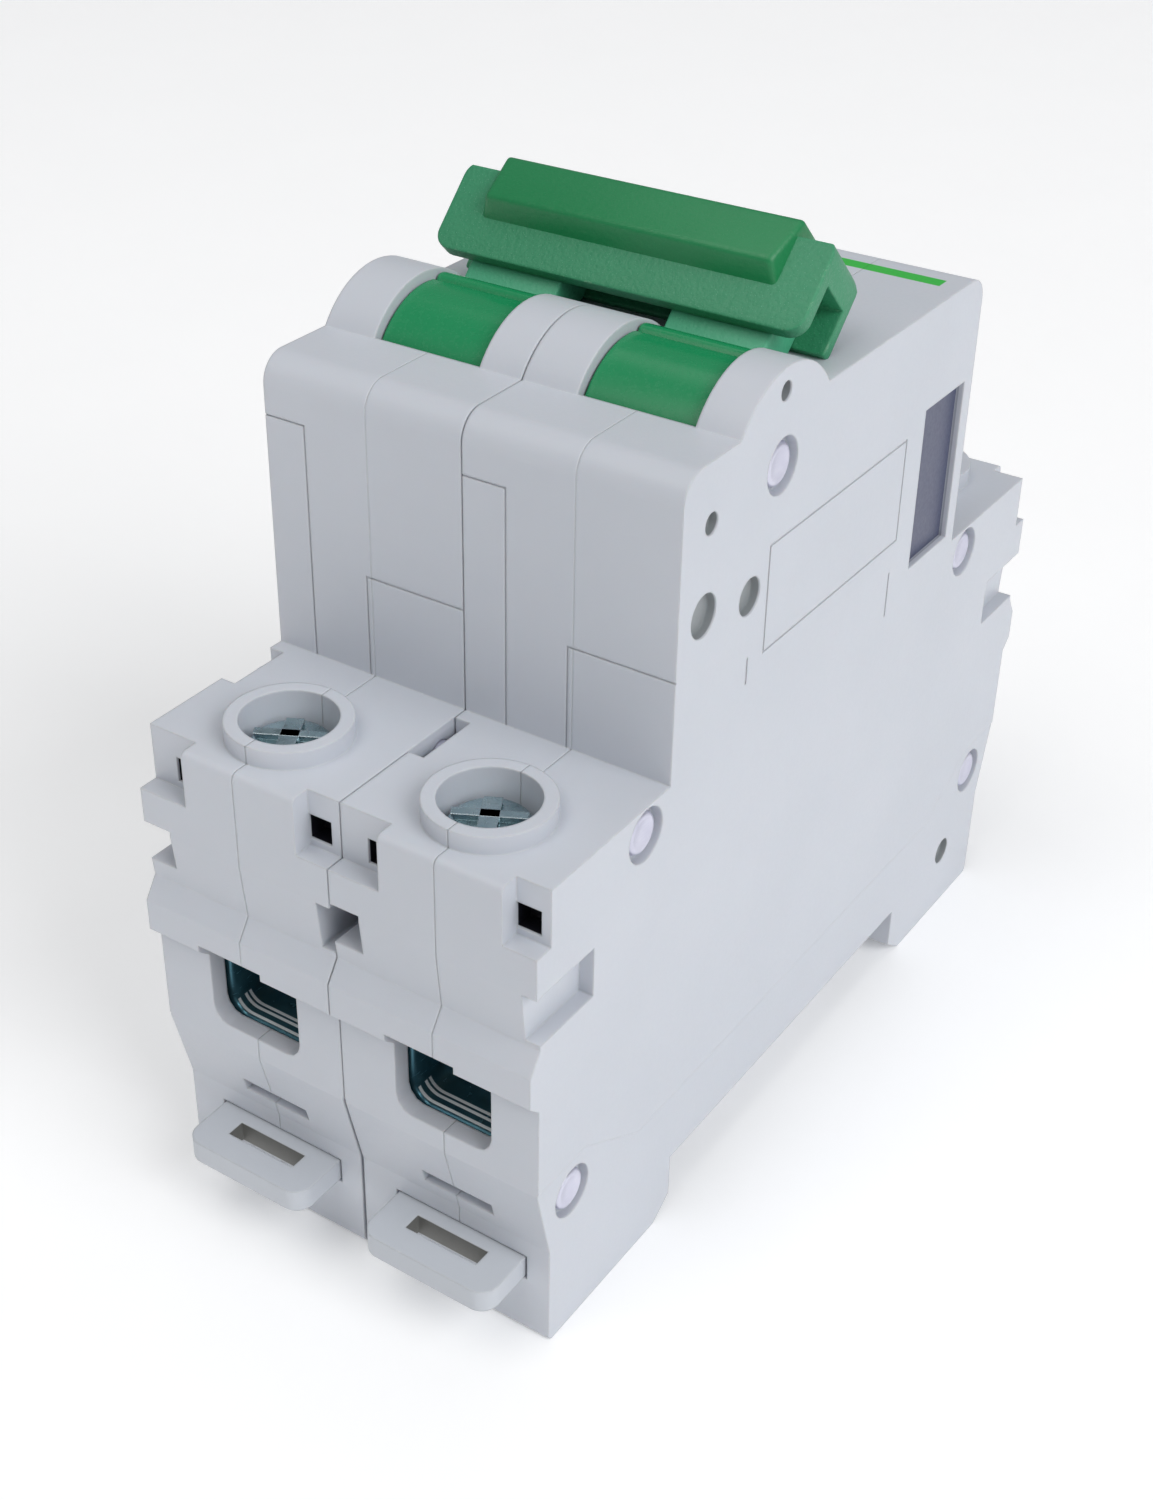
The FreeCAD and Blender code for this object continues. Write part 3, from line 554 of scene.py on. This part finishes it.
def dress(piece: bpy.types.Object, finish: Plastic | Metal) -> None:
    """Gives a piece one finish all over.

    Args:
        piece: The piece.
        finish: Its finish.
    """
    piece.data.materials.clear()
    piece.data.materials.append(finish.material())


def shade_smooth(piece: bpy.types.Object, degrees: float = SMOOTH_ANGLE) -> None:
    """Shades a piece smooth, except at its sharp edges.

    Args:
        piece: The piece.
        degrees: The least turn that counts as sharp.
    """
    piece.data.polygons.foreach_set("use_smooth", [True] * len(piece.data.polygons))
    piece.data.set_sharp_from_angle(angle=math.radians(degrees))


def make_piece(name: str, mesh: bmesh.types.BMesh, finish: Plastic | Metal, body: str,
               nodes: Sequence[str], soft: float = 0.0) -> bpy.types.Object:
    """Turns a mesh into a finished piece that rides on its body.

    Args:
        name: The piece's name.
        mesh: Its mesh, in metres.
        finish: Its finish.
        body: The body it rides on.
        nodes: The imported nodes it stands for.
        soft: The angle in degrees below which edges are shaded smooth.

    Returns:
        The piece.
    """
    bmesh.ops.recalc_face_normals(mesh, faces=mesh.faces)
    data = bpy.data.meshes.new(name)
    mesh.to_mesh(data)
    mesh.free()
    piece = bpy.data.objects.new(name, data)
    bpy.context.scene.collection.objects.link(piece)
    if soft:
        shade_smooth(piece, soft)
    dress(piece, finish)
    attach(piece, body)
    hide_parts(*nodes)
    return piece


def bridge(mesh: bmesh.types.BMesh, rings: Sequence[Sequence[bmesh.types.BMVert]]) -> None:
    """Closes a solid between its first and last ring.

    Args:
        mesh: The mesh to add to.
        rings: The two rings, with as many vertices each.
    """
    first, last = rings
    for index in range(len(first)):
        after = (index + 1) % len(first)
        mesh.faces.new((first[index], first[after], last[after], last[index]))
    mesh.faces.new(first)
    mesh.faces.new(list(reversed(last)))


def extrude(mesh: bmesh.types.BMesh, outline: Sequence[Point], start: float, end: float,
            place: Callable[[float, float], tuple[float, float]]) -> list[bmesh.types.BMVert]:
    """Adds a closed outline drawn out along the pole's width.

    Args:
        mesh: The mesh to add to.
        outline: The outline's points, in millimetres.
        start: Where it starts, in millimetres.
        end: Where it ends, in millimetres.
        place: Carries an outline point to its place in the row's depth and height.

    Returns:
        The new vertices.
    """
    rings = []
    for across in (start, end):
        ring = [mesh.verts.new((across * MM, *(v * MM for v in place(*spot)))) for spot in outline]
        rings.append(ring)
    bridge(mesh, rings)
    return rings[0] + rings[1]


def rounded_rectangle(low: Point, high: Point, radius: float, steps: int) -> list[Point]:
    """Draws a rectangle with round corners.

    Args:
        low: Its lowest corner, in millimetres.
        high: Its highest corner.
        radius: Its corners' radius.
        steps: How many steps each corner has.

    Returns:
        The outline's points.
    """
    points: list[Point] = []
    corners = ((high[0] - radius, low[1] + radius), (high[0] - radius, high[1] - radius),
               (low[0] + radius, high[1] - radius), (low[0] + radius, low[1] + radius))
    for quarter, (across, up) in enumerate(corners):
        for step in range(steps + 1):
            angle = math.radians(90 * quarter - 90 + 90 * step / steps)
            points.append((across + radius * math.cos(angle), up + radius * math.sin(angle)))
    return points


def bevel(mesh: bmesh.types.BMesh, edges: Iterable[bmesh.types.BMEdge], width: float,
          segments: int = 3) -> None:
    """Rounds some edges.

    Args:
        mesh: The mesh.
        edges: The edges.
        width: The rounding's width, in millimetres.
        segments: How many steps the rounding has.
    """
    bmesh.ops.bevel(mesh, geom=list(edges), offset=width * MM, offset_type="OFFSET",
                    segments=segments, profile=0.5, affect="EDGES", clamp_overlap=True)


def lathe(mesh: bmesh.types.BMesh, profile: Sequence[Point], turn: Matrix, steps: int = 64) -> None:
    """Adds a closed solid of revolution about its own height.

    Args:
        mesh: The mesh to add to.
        profile: Radius and height pairs from the axis round to the axis, in millimetres.
        turn: Carries the solid to its place, in metres.
        steps: How many sides it has.
    """
    rings: list[list[bmesh.types.BMVert]] = []
    for radius, height in profile:
        if radius < 1e-6:
            rings.append([mesh.verts.new(turn @ Vector((0, 0, height * MM)))])
            continue
        ring = []
        for step in range(steps):
            angle = 2 * math.pi * step / steps
            spot = Vector((radius * math.cos(angle), radius * math.sin(angle), height)) * MM
            ring.append(mesh.verts.new(turn @ spot))
        rings.append(ring)
    for lower, upper in zip(rings, rings[1:]):
        for step in range(steps):
            after = (step + 1) % steps
            if len(lower) == 1:
                mesh.faces.new((lower[0], upper[step], upper[after]))
            elif len(upper) == 1:
                mesh.faces.new((lower[step], lower[after], upper[0]))
            else:
                mesh.faces.new((lower[step], lower[after], upper[after], upper[step]))


def baked(piece: bpy.types.Object) -> None:
    """Makes a piece's modifiers part of its mesh.

    Args:
        piece: The piece.
    """
    graph = bpy.context.evaluated_depsgraph_get()
    data = bpy.data.meshes.new_from_object(piece.evaluated_get(graph))
    old = piece.data
    piece.modifiers.clear()
    piece.data = data
    bpy.data.meshes.remove(old)


def plain_object(name: str, mesh: bmesh.types.BMesh) -> bpy.types.Object:
    """Makes an object that only helps to shape a piece.

    Args:
        name: The object's name.
        mesh: Its mesh, in metres.

    Returns:
        The object.
    """
    data = bpy.data.meshes.new(name)
    mesh.to_mesh(data)
    mesh.free()
    helper = bpy.data.objects.new(name, data)
    bpy.context.scene.collection.objects.link(helper)
    return helper


def combine(piece: bpy.types.Object, helper: bpy.types.Object, operation: str) -> None:
    """Shapes a piece with a helper solid, and removes the helper.

    Args:
        piece: The piece.
        helper: The solid to cut, join or keep with.
        operation: What to do, as the modifier names it.
    """
    change = piece.modifiers.new("shape", "BOOLEAN")
    change.object = helper
    change.operation = operation
    change.solver = "EXACT"
    baked(piece)
    bpy.data.objects.remove(helper)


def soften(piece: bpy.types.Object, width: float, segments: int = 3, degrees: float = 22.0) -> None:
    """Rounds a piece's sharp edges and shades it smooth.

    Args:
        piece: The piece.
        width: The rounding's width, in millimetres.
        segments: How many steps the rounding has.
        degrees: The least turn that counts as sharp.
    """
    change = piece.modifiers.new("soft_edges", "BEVEL")
    change.width = width * MM
    change.segments = segments
    change.limit_method = "ANGLE"
    change.angle_limit = math.radians(degrees)
    baked(piece)
    shade_smooth(piece)


@dataclass
class Handle:
    """The toggles and the bar that ties them, leaning to the on position."""

    lean: float = 45.0
    drum_radius: float = 6.75
    lip_angle: float = -25.0
    lip_spread: float = 8.0
    lip_proud: float = 0.48
    groove_spread: float = 4.0
    groove_deep: float = 0.4
    drum_reach: int = 100
    drum_sides: Span = (4.9, 14.1)
    blade_sides: Span = (5.0, 13.4)
    blade_rounding: float = 0.25
    web_sides: Span = (8.5, 10.5)
    bar_half: float = 16.0
    bar_low: float = 8.75
    bar_high: float = 16.3
    bar_corner: float = 1.4
    bar_corner_steps: int = 6
    bar_rounding: float = 0.4
    block_half: float = 7.0
    overlap: float = 0.5
    drum_soft: float = 50.0
    plate_soft: float = 35.0
    grip_half: float = 13.0
    grip_root: float = -2.2
    grip_slant: float = 0.45
    grip_rounding: float = 0.35
    pivot: Point = (-9.5, 57.6)
    rivet_way: float = 1.25
    link_reach: float = 4.5
    link_way: float = 0.86
    blade: tuple[Point, ...] = ((-0.85, 4.8), (-0.85, 13.1), (2.95, 13.1), (2.95, 4.8))
    web: tuple[Point, ...] = (
        (-1.8, 0.5), (-1.8, -5.2), (-1.0, -6.3), (1.0, -6.3), (1.8, -5.2), (1.8, 0.5))
    section: tuple[Point, ...] = (
        (-2.2, 8.75), (-2.2, 15.8), (-0.9, 16.2), (2.9, 16.4), (3.95, 15.3), (3.95, 9.6), (3.0, 9.6),
        (3.0, 13.2), (-0.95, 13.2), (-0.95, 8.75))
    grip: tuple[Point, ...] = (
        (-1.6, 11.35), (-3.7, 13.0), (-2.35, 17.1), (2.4, 17.1), (3.1, 15.9), (-1.0, 15.0))

    def carry(self, back: float, out: float) -> tuple[float, float]:
        """Carries a point of the upright toggle to its leaning place.

        Args:
            back: The distance behind the blade's middle, in millimetres.
            out: The distance out from the pivot, in millimetres.

        Returns:
            The point's depth and height in the row, in millimetres.
        """
        sine, cosine = math.sin(math.radians(self.lean)), math.cos(math.radians(self.lean))
        return (self.pivot[0] + back * cosine + out * sine, self.pivot[1] - back * sine + out * cosine)

    def drum_outline(self) -> list[Point]:
        """Draws the drum's side view, with the lip at the blade's foot.

        Returns:
            The outline's points.
        """
        points: list[Point] = []
        for degrees in range(-self.drum_reach, self.drum_reach + 1):
            away = abs(degrees - self.lip_angle)
            radius = self.drum_radius
            if away < self.lip_spread:
                radius += self.lip_proud * math.sqrt(1 - (away / self.lip_spread) ** 2)
            elif away < self.lip_spread + self.groove_spread:
                share = (away - self.lip_spread) / self.groove_spread
                radius -= self.groove_deep * math.sin(math.pi * share)
            angle = math.radians(degrees)
            points.append((math.sin(angle) * radius, math.cos(angle) * radius))
        return points

    def bore(self, pole: Pole, out: float, radius: float) -> bpy.types.Object:
        """Builds the round bar that cuts a hole across a toggle.

        Args:
            pole: The toggle's pole.
            out: The hole's distance out from the pivot, in millimetres.
            radius: The hole's radius, in millimetres.

        Returns:
            The bar.
        """
        mesh = bmesh.new()
        back, high = self.carry(0.0, out)
        turn = Matrix.Translation((pole.offset * MM, back * MM, high * MM)) @ Matrix.Rotation(
            math.radians(90), 4, "Y")
        left, right = self.drum_sides[0] - self.overlap, self.drum_sides[1] + self.overlap
        lathe(mesh, [(0.0, left), (radius, left), (radius, right), (0.0, right)], turn, ROUND_STEPS)
        bmesh.ops.recalc_face_normals(mesh, faces=mesh.faces)
        return plain_object("cross_bore", mesh)

    def toggle_part(self, pole: Pole, word: str, outline: Sequence[Point], sides: Span,
                    finish: Plastic, soft: float, rounding: float = 0.0) -> bpy.types.Object:
        """Builds one part of a toggle from its side view.

        Args:
            pole: The toggle's pole.
            word: The part's own name.
            outline: Its side view, upright, in millimetres.
            sides: Where it starts and ends from the pole's left face, in millimetres.
            finish: Its finish.
            soft: The angle in degrees below which edges are shaded smooth.
            rounding: How far its edges are rounded, in millimetres.

        Returns:
            The part.
        """
        name = f"{pole.word}_toggle"
        mesh = bmesh.new()
        extrude(mesh, outline, pole.offset + sides[0], pole.offset + sides[1], self.carry)
        if rounding:
            bevel(mesh, mesh.edges, rounding)
        return make_piece(f"{name}_{word}", mesh, finish, "handle", [name], soft)

    def build_toggle(self, pole: Pole) -> bpy.types.Object:
        """Builds one toggle: its drum, its blade and the web that holds the link's pin.

        Args:
            pole: The toggle's pole.

        Returns:
            The toggle's drum piece.
        """
        drum = self.toggle_part(pole, "drum", self.drum_outline(), self.drum_sides, GREEN_SMOOTH,
                                self.drum_soft)
        # The blade gets the lightened green, which is painted light against the bar's shade on it.
        self.toggle_part(pole, "blade", self.blade, self.blade_sides, GREEN_BLADE_PAINTED_LIGHT, self.plate_soft,
                         self.blade_rounding)
        web = self.toggle_part(pole, "link_web", self.web, self.web_sides, GREEN_SMOOTH, self.plate_soft)
        combine(web, self.bore(pole, -self.link_reach, self.link_way), "DIFFERENCE")
        for part in (drum, web):
            combine(part, self.bore(pole, 0.0, self.rivet_way), "DIFFERENCE")
        return drum

    def rounded_block(self) -> bpy.types.Object:
        """Builds the solid whose front view has the bar's rounded corners.

        Returns:
            The solid.
        """
        outline = rounded_rectangle((-self.bar_half, self.bar_low), (self.bar_half, self.bar_high),
                                    self.bar_corner, self.bar_corner_steps)
        mesh = bmesh.new()
        rings = []
        for back in (-self.block_half, self.block_half):
            ring = []
            for across, out in outline:
                spot = (across, *self.carry(back, out))
                ring.append(mesh.verts.new([v * MM for v in spot]))
            rings.append(ring)
        bridge(mesh, rings)
        bmesh.ops.recalc_face_normals(mesh, faces=mesh.faces)
        return plain_object("rounded_block", mesh)

    def build_bar(self) -> bpy.types.Object:
        """Builds the bar and its raised grip.

        Returns:
            The bar.
        """
        mesh = bmesh.new()
        half = self.bar_half + self.overlap
        extrude(mesh, self.section, -half, half, self.carry)
        bar = make_piece("tie_bar", mesh, GREEN_TEXTURED, "handle", ["handle_tie_bar"])
        combine(bar, self.rounded_block(), "INTERSECT")
        soften(bar, self.bar_rounding, 4)
        mesh = bmesh.new()
        ends = extrude(mesh, self.grip, -self.grip_half, self.grip_half, self.carry)
        for index, vert in enumerate(ends):
            proud = max(0.0, self.grip_root - self.grip[index % len(self.grip)][0])
            vert.co.x -= math.copysign(proud * self.grip_slant * MM, vert.co.x)
        grip = make_piece("tie_bar_grip", mesh, GREEN_GRIP, "handle", ["handle_tie_bar"])
        soften(grip, self.grip_rounding)
        return bar

    def build(self) -> None:
        """Builds the whole handle."""
        for pole in Pole:
            LOG.info("built %s", self.build_toggle(pole).name)
        LOG.info("built %s", self.build_bar().name)


@dataclass
class TerminalScrew:
    """One terminal screw with a rounded head and a cross recess with a wide slot."""

    pole: Pole
    end: str
    shank_radius: float = 2.4
    tip_chamfer: float = 0.35
    core_radius: float = 2.1
    thread_radius: float = 2.42
    thread_start: float = 0.5
    thread_stop: float = 3.2
    thread_flank: float = 0.25
    thread_pitch: float = 0.8
    head_thick: float = 2.3
    head_chamfer: Point = (0.1, 0.15)
    crown_radius: float = 0.65
    crown_drop: float = 0.75
    crown_flat: Point = (0.8, 0.02)
    flat_radius: float = 1.5
    head_steps: int = 72
    recess_deep: float = 1.5
    recess_over: float = 0.5
    recess_turn: float = 28.0
    recess_arms: tuple[Point, ...] = ((2.45, 0.42), (0.62, 2.0))
    recess_flare: Span = (0.72, 1.12)
    well: tuple[Point, ...] = ((0.0, -0.3), (0.75, 0.1))
    well_mouth: float = 1.15
    well_steps: int = 24

    def build(self) -> bpy.types.Object:
        """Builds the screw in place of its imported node.

        Returns:
            The screw.
        """
        node = f"{self.pole.word}_{self.end}_terminal_screw"
        low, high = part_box(node)
        middle = (low + high) / 2
        radius = (high.x - low.x) / 2 / MM
        top, bottom = high.z / MM, low.z / MM
        core, thread, flank = self.core_radius, self.thread_radius, self.thread_flank
        profile = [(0.0, bottom), (core, bottom), (self.shank_radius, bottom + self.tip_chamfer)]
        height = bottom + self.thread_start
        while height < top - self.thread_stop:
            profile += [(thread, height), (core, height + flank), (thread, height + 2 * flank)]
            height += self.thread_pitch
        head, crown, shoulder = top - self.head_thick, self.crown_radius, top - self.crown_drop
        profile += [(self.shank_radius, head), (radius - self.head_chamfer[0], head),
                    (radius, head + self.head_chamfer[1]), (radius, shoulder)]
        for degrees in range(15, 90, 15):
            angle = math.radians(degrees)
            profile.append((radius - crown + crown * math.cos(angle), shoulder + crown * math.sin(angle)))
        profile += [(radius - self.crown_flat[0], top - self.crown_flat[1]), (self.flat_radius, top),
                    (0.0, top)]
        mesh = bmesh.new()
        lathe(mesh, profile, Matrix.Translation((middle.x, middle.y, 0)), self.head_steps)
        piece = make_piece(f"{node}_turned", mesh, ZINC, f"{self.pole.word}_{self.end}_screw", [node],
                           SMOOTH_ANGLE)
        combine(piece, self.cutter(middle, top), "DIFFERENCE")
        return piece

    def cutter(self, middle: Vector, top: float) -> bpy.types.Object:
        """Builds the solid that cuts the recess.

        Args:
            middle: The screw's middle.
            top: The head's height, in millimetres.

        Returns:
            The cutting solid.
        """
        mesh = bmesh.new()
        place = Matrix.Translation((middle.x, middle.y, 0))
        turn = place @ Matrix.Rotation(math.radians(self.recess_turn), 4, "Z")
        floor, mouth = top - self.recess_deep, top + self.recess_over
        for half_x, half_y in self.recess_arms:
            ring = []
            for height, shrink in zip((floor, mouth), self.recess_flare):
                for sx, sy in ((-1, -1), (1, -1), (1, 1), (-1, 1)):
                    spot = Vector((sx * half_x * shrink, sy * half_y, height)) * MM
                    ring.append(mesh.verts.new(turn @ spot))
            for face in ((3, 2, 1, 0), (4, 5, 6, 7), (0, 1, 5, 4), (1, 2, 6, 5), (2, 3, 7, 6), (3, 0, 4, 7)):
                mesh.faces.new([ring[i] for i in face])
        profile = [(radius, floor + up) for radius, up in self.well]
        profile += [(self.well_mouth, mouth), (0.0, mouth)]
        lathe(mesh, profile, turn, self.well_steps)
        return plain_object("recess_cutter", mesh)


@dataclass
class TerminalCage:
    """One terminal cage: a bent tube of plated steel with round corners, open at both ends."""

    pole: Pole
    end: str
    wall: float = 1.1
    floor: float = 1.5
    corner: float = 1.5
    corner_steps: int = 8
    rim_rounding: float = 0.35
    screw_hole: float = 2.5
    hole_below: float = 4.0
    overlap: float = 1.0

    def prism(self, outline: Sequence[Point], start: float, end: float) -> bmesh.types.BMesh:
        """Draws an outline out along the row's depth.

        Args:
            outline: The outline, across and up, in millimetres.
            start: Where it starts.
            end: Where it ends.

        Returns:
            The mesh.
        """
        mesh = bmesh.new()
        bridge(mesh, [[mesh.verts.new((x * MM, depth * MM, z * MM)) for x, z in outline]
                      for depth in (start, end)])
        bmesh.ops.recalc_face_normals(mesh, faces=mesh.faces)
        return mesh

    def build(self) -> bpy.types.Object:
        """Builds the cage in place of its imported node.

        Returns:
            The cage.
        """
        node = f"{self.pole.word}_{self.end}_terminal_cage"
        low, high = (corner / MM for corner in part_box(node))
        outer = rounded_rectangle((low.x, low.z), (high.x, high.z), self.corner, self.corner_steps)
        inner = rounded_rectangle((low.x + self.wall, low.z + self.floor),
                                  (high.x - self.wall, high.z - self.floor),
                                  self.corner, self.corner_steps)
        cage = make_piece(f"{node}_bent", self.prism(outer, low.y, high.y), CAGE,
                          f"{self.pole.word}_{self.end}_cage", [node])
        way = self.prism(inner, low.y - self.overlap, high.y + self.overlap)
        combine(cage, plain_object("cage_way", way), "DIFFERENCE")
        mesh = bmesh.new()
        middle = (low + high) / 2
        start, end = high.z - self.hole_below, high.z + self.overlap
        profile = [(0.0, start), (self.screw_hole, start), (self.screw_hole, end), (0.0, end)]
        lathe(mesh, profile, Matrix.Translation((middle.x * MM, middle.y * MM, 0)), ROUND_STEPS)
        bmesh.ops.recalc_face_normals(mesh, faces=mesh.faces)
        combine(cage, plain_object("screw_way", mesh), "DIFFERENCE")
        soften(cage, self.rim_rounding)
        return cage


@dataclass
class Rivets:
    """The five through rivets, copied along the sides by geometry nodes.

    The dome's points are shares of the head's radius and drops below its crown in millimetres.
    """

    spots: tuple[Point, ...] = ((-9.5, 57.6), (-26.1, 35.6), (26.1, 35.6), (-34.6, 8.1), (34.6, 8.1))
    head_radius: float = 1.7
    head_high: float = 0.68
    shank_radius: float = 1.2
    reach: float = 17.7
    dome: tuple[Point, ...] = ((1.0, 0.28), (0.93, 0.1), (0.8, 0.0), (0.68, 0.03), (0.6, 0.09), (0.0, 0.1))

    def rivet(self) -> bpy.types.Object:
        """Builds one rivet across the poles.

        Returns:
            The rivet.
        """
        half, radius = self.reach, self.head_radius
        inner = half - self.head_high
        end = [(radius, inner), *((radius * share, half - drop) for share, drop in self.dome)]
        start = [(across, -along) for across, along in reversed(end)]
        profile = [*start, (self.shank_radius, -inner), (self.shank_radius, inner), *end]
        mesh = bmesh.new()
        lathe(mesh, profile, Matrix.Rotation(math.radians(90), 4, "Y"), ROUND_STEPS)
        bmesh.ops.recalc_face_normals(mesh, faces=mesh.faces)
        return plain_object("rivet", mesh)

    def copies(self, name: str) -> bpy.types.NodeTree:
        """Builds the geometry nodes that set a copy on every point.

        Args:
            name: The node tree's name.

        Returns:
            The node tree.
        """
        tree = bpy.data.node_groups.new(name, "GeometryNodeTree")
        new = tree.interface.new_socket
        new("Points", in_out="INPUT", socket_type="NodeSocketGeometry")
        new("Copy", in_out="INPUT", socket_type="NodeSocketObject")
        new("Finish", in_out="INPUT", socket_type="NodeSocketMaterial")
        new("Copies", in_out="OUTPUT", socket_type="NodeSocketGeometry")
        graph = Graph(tree)
        entry = graph.add("NodeGroupInput").outputs
        shape = graph.add("GeometryNodeObjectInfo", None, {"Object": entry["Copy"]}).outputs["Geometry"]
        spread = graph.add("GeometryNodeInstanceOnPoints", None,
                           {"Points": entry["Points"], "Instance": shape}).outputs[0]
        real = graph.add("GeometryNodeRealizeInstances", None, {0: spread}).outputs[0]
        done = graph.add("GeometryNodeSetMaterial", None, {"Geometry": real, "Material": entry["Finish"]})
        graph.add("NodeGroupOutput", None, {"Copies": done.outputs[0]})
        return tree

    def build(self) -> bpy.types.Object:
        """Builds every rivet as one piece.

        Returns:
            The rivets.
        """
        source = self.rivet()
        data = bpy.data.meshes.new("rivets")
        data.from_pydata([(0.0, y * MM, z * MM) for y, z in self.spots], [], [])
        piece = bpy.data.objects.new("domed_rivets", data)
        bpy.context.scene.collection.objects.link(piece)
        change = piece.modifiers.new("copies", "NODES")
        change.node_group = self.copies("rivet_copies")
        for item in change.node_group.interface.items_tree:
            if item.name == "Copy":
                change[item.identifier] = source
            if item.name == "Finish":
                change[item.identifier] = RIVET.material()
        baked(piece)
        bpy.data.objects.remove(source)
        shade_smooth(piece)
        dress(piece, RIVET)
        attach(piece, "housing")
        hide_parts("case_rivets")
        return piece


@dataclass(frozen=True)
class Lamp:
    """A square soft light: its place and size in metres, its power in watts and its tint."""

    spot: Corner
    size: float
    power: float
    tint: Colour


@dataclass
class Studio:
    """The pale floor, the soft lights and the camera."""

    floor_high: float = -5.6
    floor_reach: float = 12.0
    floor_glow: float = 0.14
    aim_at: Corner = (0.0, 0.0, 0.03)
    sky_colour: Colour = (0.93, 0.95, 1.0)
    sky_strength: float = 0.26
    camera_at: Corner = (79.58, -130.15, 121.02)
    camera_forward: Corner = (-0.48147503, 0.68735767, -0.54380257)
    lens: float = 65.73
    shift: Point = (0.0535, -0.0015)
    clip: Span = (0.01, 20.0)
    lamps: dict[str, Lamp] = field(default_factory=lambda: {
        "key": Lamp((1.65, -0.30, 1.26), 1.30, 25.0, (0.985, 0.99, 1.0)),
        "top": Lamp((-0.20, 0.50, 2.60), 2.20, 13.5, (1.0, 1.0, 1.0)),
        "fill": Lamp((-0.30, -1.00, 1.80), 1.30, 11.5, (1.0, 0.985, 0.95)),
    })

    def build(self) -> None:
        """Builds the surroundings."""
        self.lay_floor()
        self.hang_lamps()
        self.light_sky()
        self.aim()

    def lay_floor(self) -> None:
        """Lays the floor under the feet."""
        data = bpy.data.meshes.new("floor")
        reach, high = self.floor_reach, self.floor_high * MM
        data.from_pydata([(-reach, -reach, high), (reach, -reach, high), (reach, reach, high),
                          (-reach, reach, high)], [], [(0, 1, 2, 3)])
        floor = bpy.data.objects.new("floor", data)
        bpy.context.scene.collection.objects.link(floor)
        paint = FLOOR_PAINT.material()
        data.materials.append(paint)
        surface = paint.node_tree.nodes["Principled BSDF"].inputs
        surface["Emission Color"].default_value = (1.0, 1.0, 1.0, 1.0)
        surface["Emission Strength"].default_value = self.floor_glow

    def hang_lamps(self) -> None:
        """Hangs the soft lights and turns them to the object."""
        for name, lamp in self.lamps.items():
            data = bpy.data.lights.new(name, "AREA")
            data.energy, data.size, data.color = lamp.power, lamp.size, lamp.tint
            light = bpy.data.objects.new(name, data)
            light.location = lamp.spot
            towards = Vector(self.aim_at) - Vector(lamp.spot)
            light.rotation_euler = towards.to_track_quat("-Z", "Y").to_euler()
            bpy.context.scene.collection.objects.link(light)

    def light_sky(self) -> None:
        """Lights the surroundings evenly and weakly."""
        world = bpy.data.worlds.new("studio")
        world.use_nodes = True
        sky = world.node_tree.nodes["Background"].inputs
        sky["Color"].default_value = (*self.sky_colour, 1.0)
        sky["Strength"].default_value = self.sky_strength
        bpy.context.scene.world = world
        bpy.context.scene.view_settings.view_transform = "Standard"

    def aim(self) -> None:
        """Sets the camera at its viewing angle."""
        data = bpy.data.cameras.new("camera")
        data.sensor_fit, data.sensor_width, data.lens = "HORIZONTAL", 36.0, self.lens
        data.shift_x, data.shift_y = self.shift
        data.clip_start, data.clip_end = self.clip
        camera = bpy.data.objects.new("camera", data)
        camera.location = Vector(self.camera_at) * MM
        camera.rotation_euler = Vector(self.camera_forward).to_track_quat("-Z", "Y").to_euler()
        bpy.context.scene.collection.objects.link(camera)
        bpy.context.scene.camera = camera


def finish_nodes(nodes: dict[str, bpy.types.Object]) -> None:
    """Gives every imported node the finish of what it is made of.

    Args:
        nodes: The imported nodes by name.
    """
    for name, node in nodes.items():
        for ending, finish in NODE_FINISHES:
            if name.endswith(ending):
                dress(node, finish)
                break
        else:
            LOG.warning("no finish for %s", name)


def main() -> None:
    """Builds the looks and the studio."""
    logging.basicConfig(level=logging.INFO, format="%(message)s")
    finish_nodes(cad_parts)
    Handle().build()
    for pole in Pole:
        for end in ("near", "far"):
            LOG.info("built %s", TerminalScrew(pole, end).build().name)
            LOG.info("built %s", TerminalCage(pole, end).build().name)
    LOG.info("built %s", Rivets().build().name)
    Studio().build()


if __name__ == "__main__":
    main()
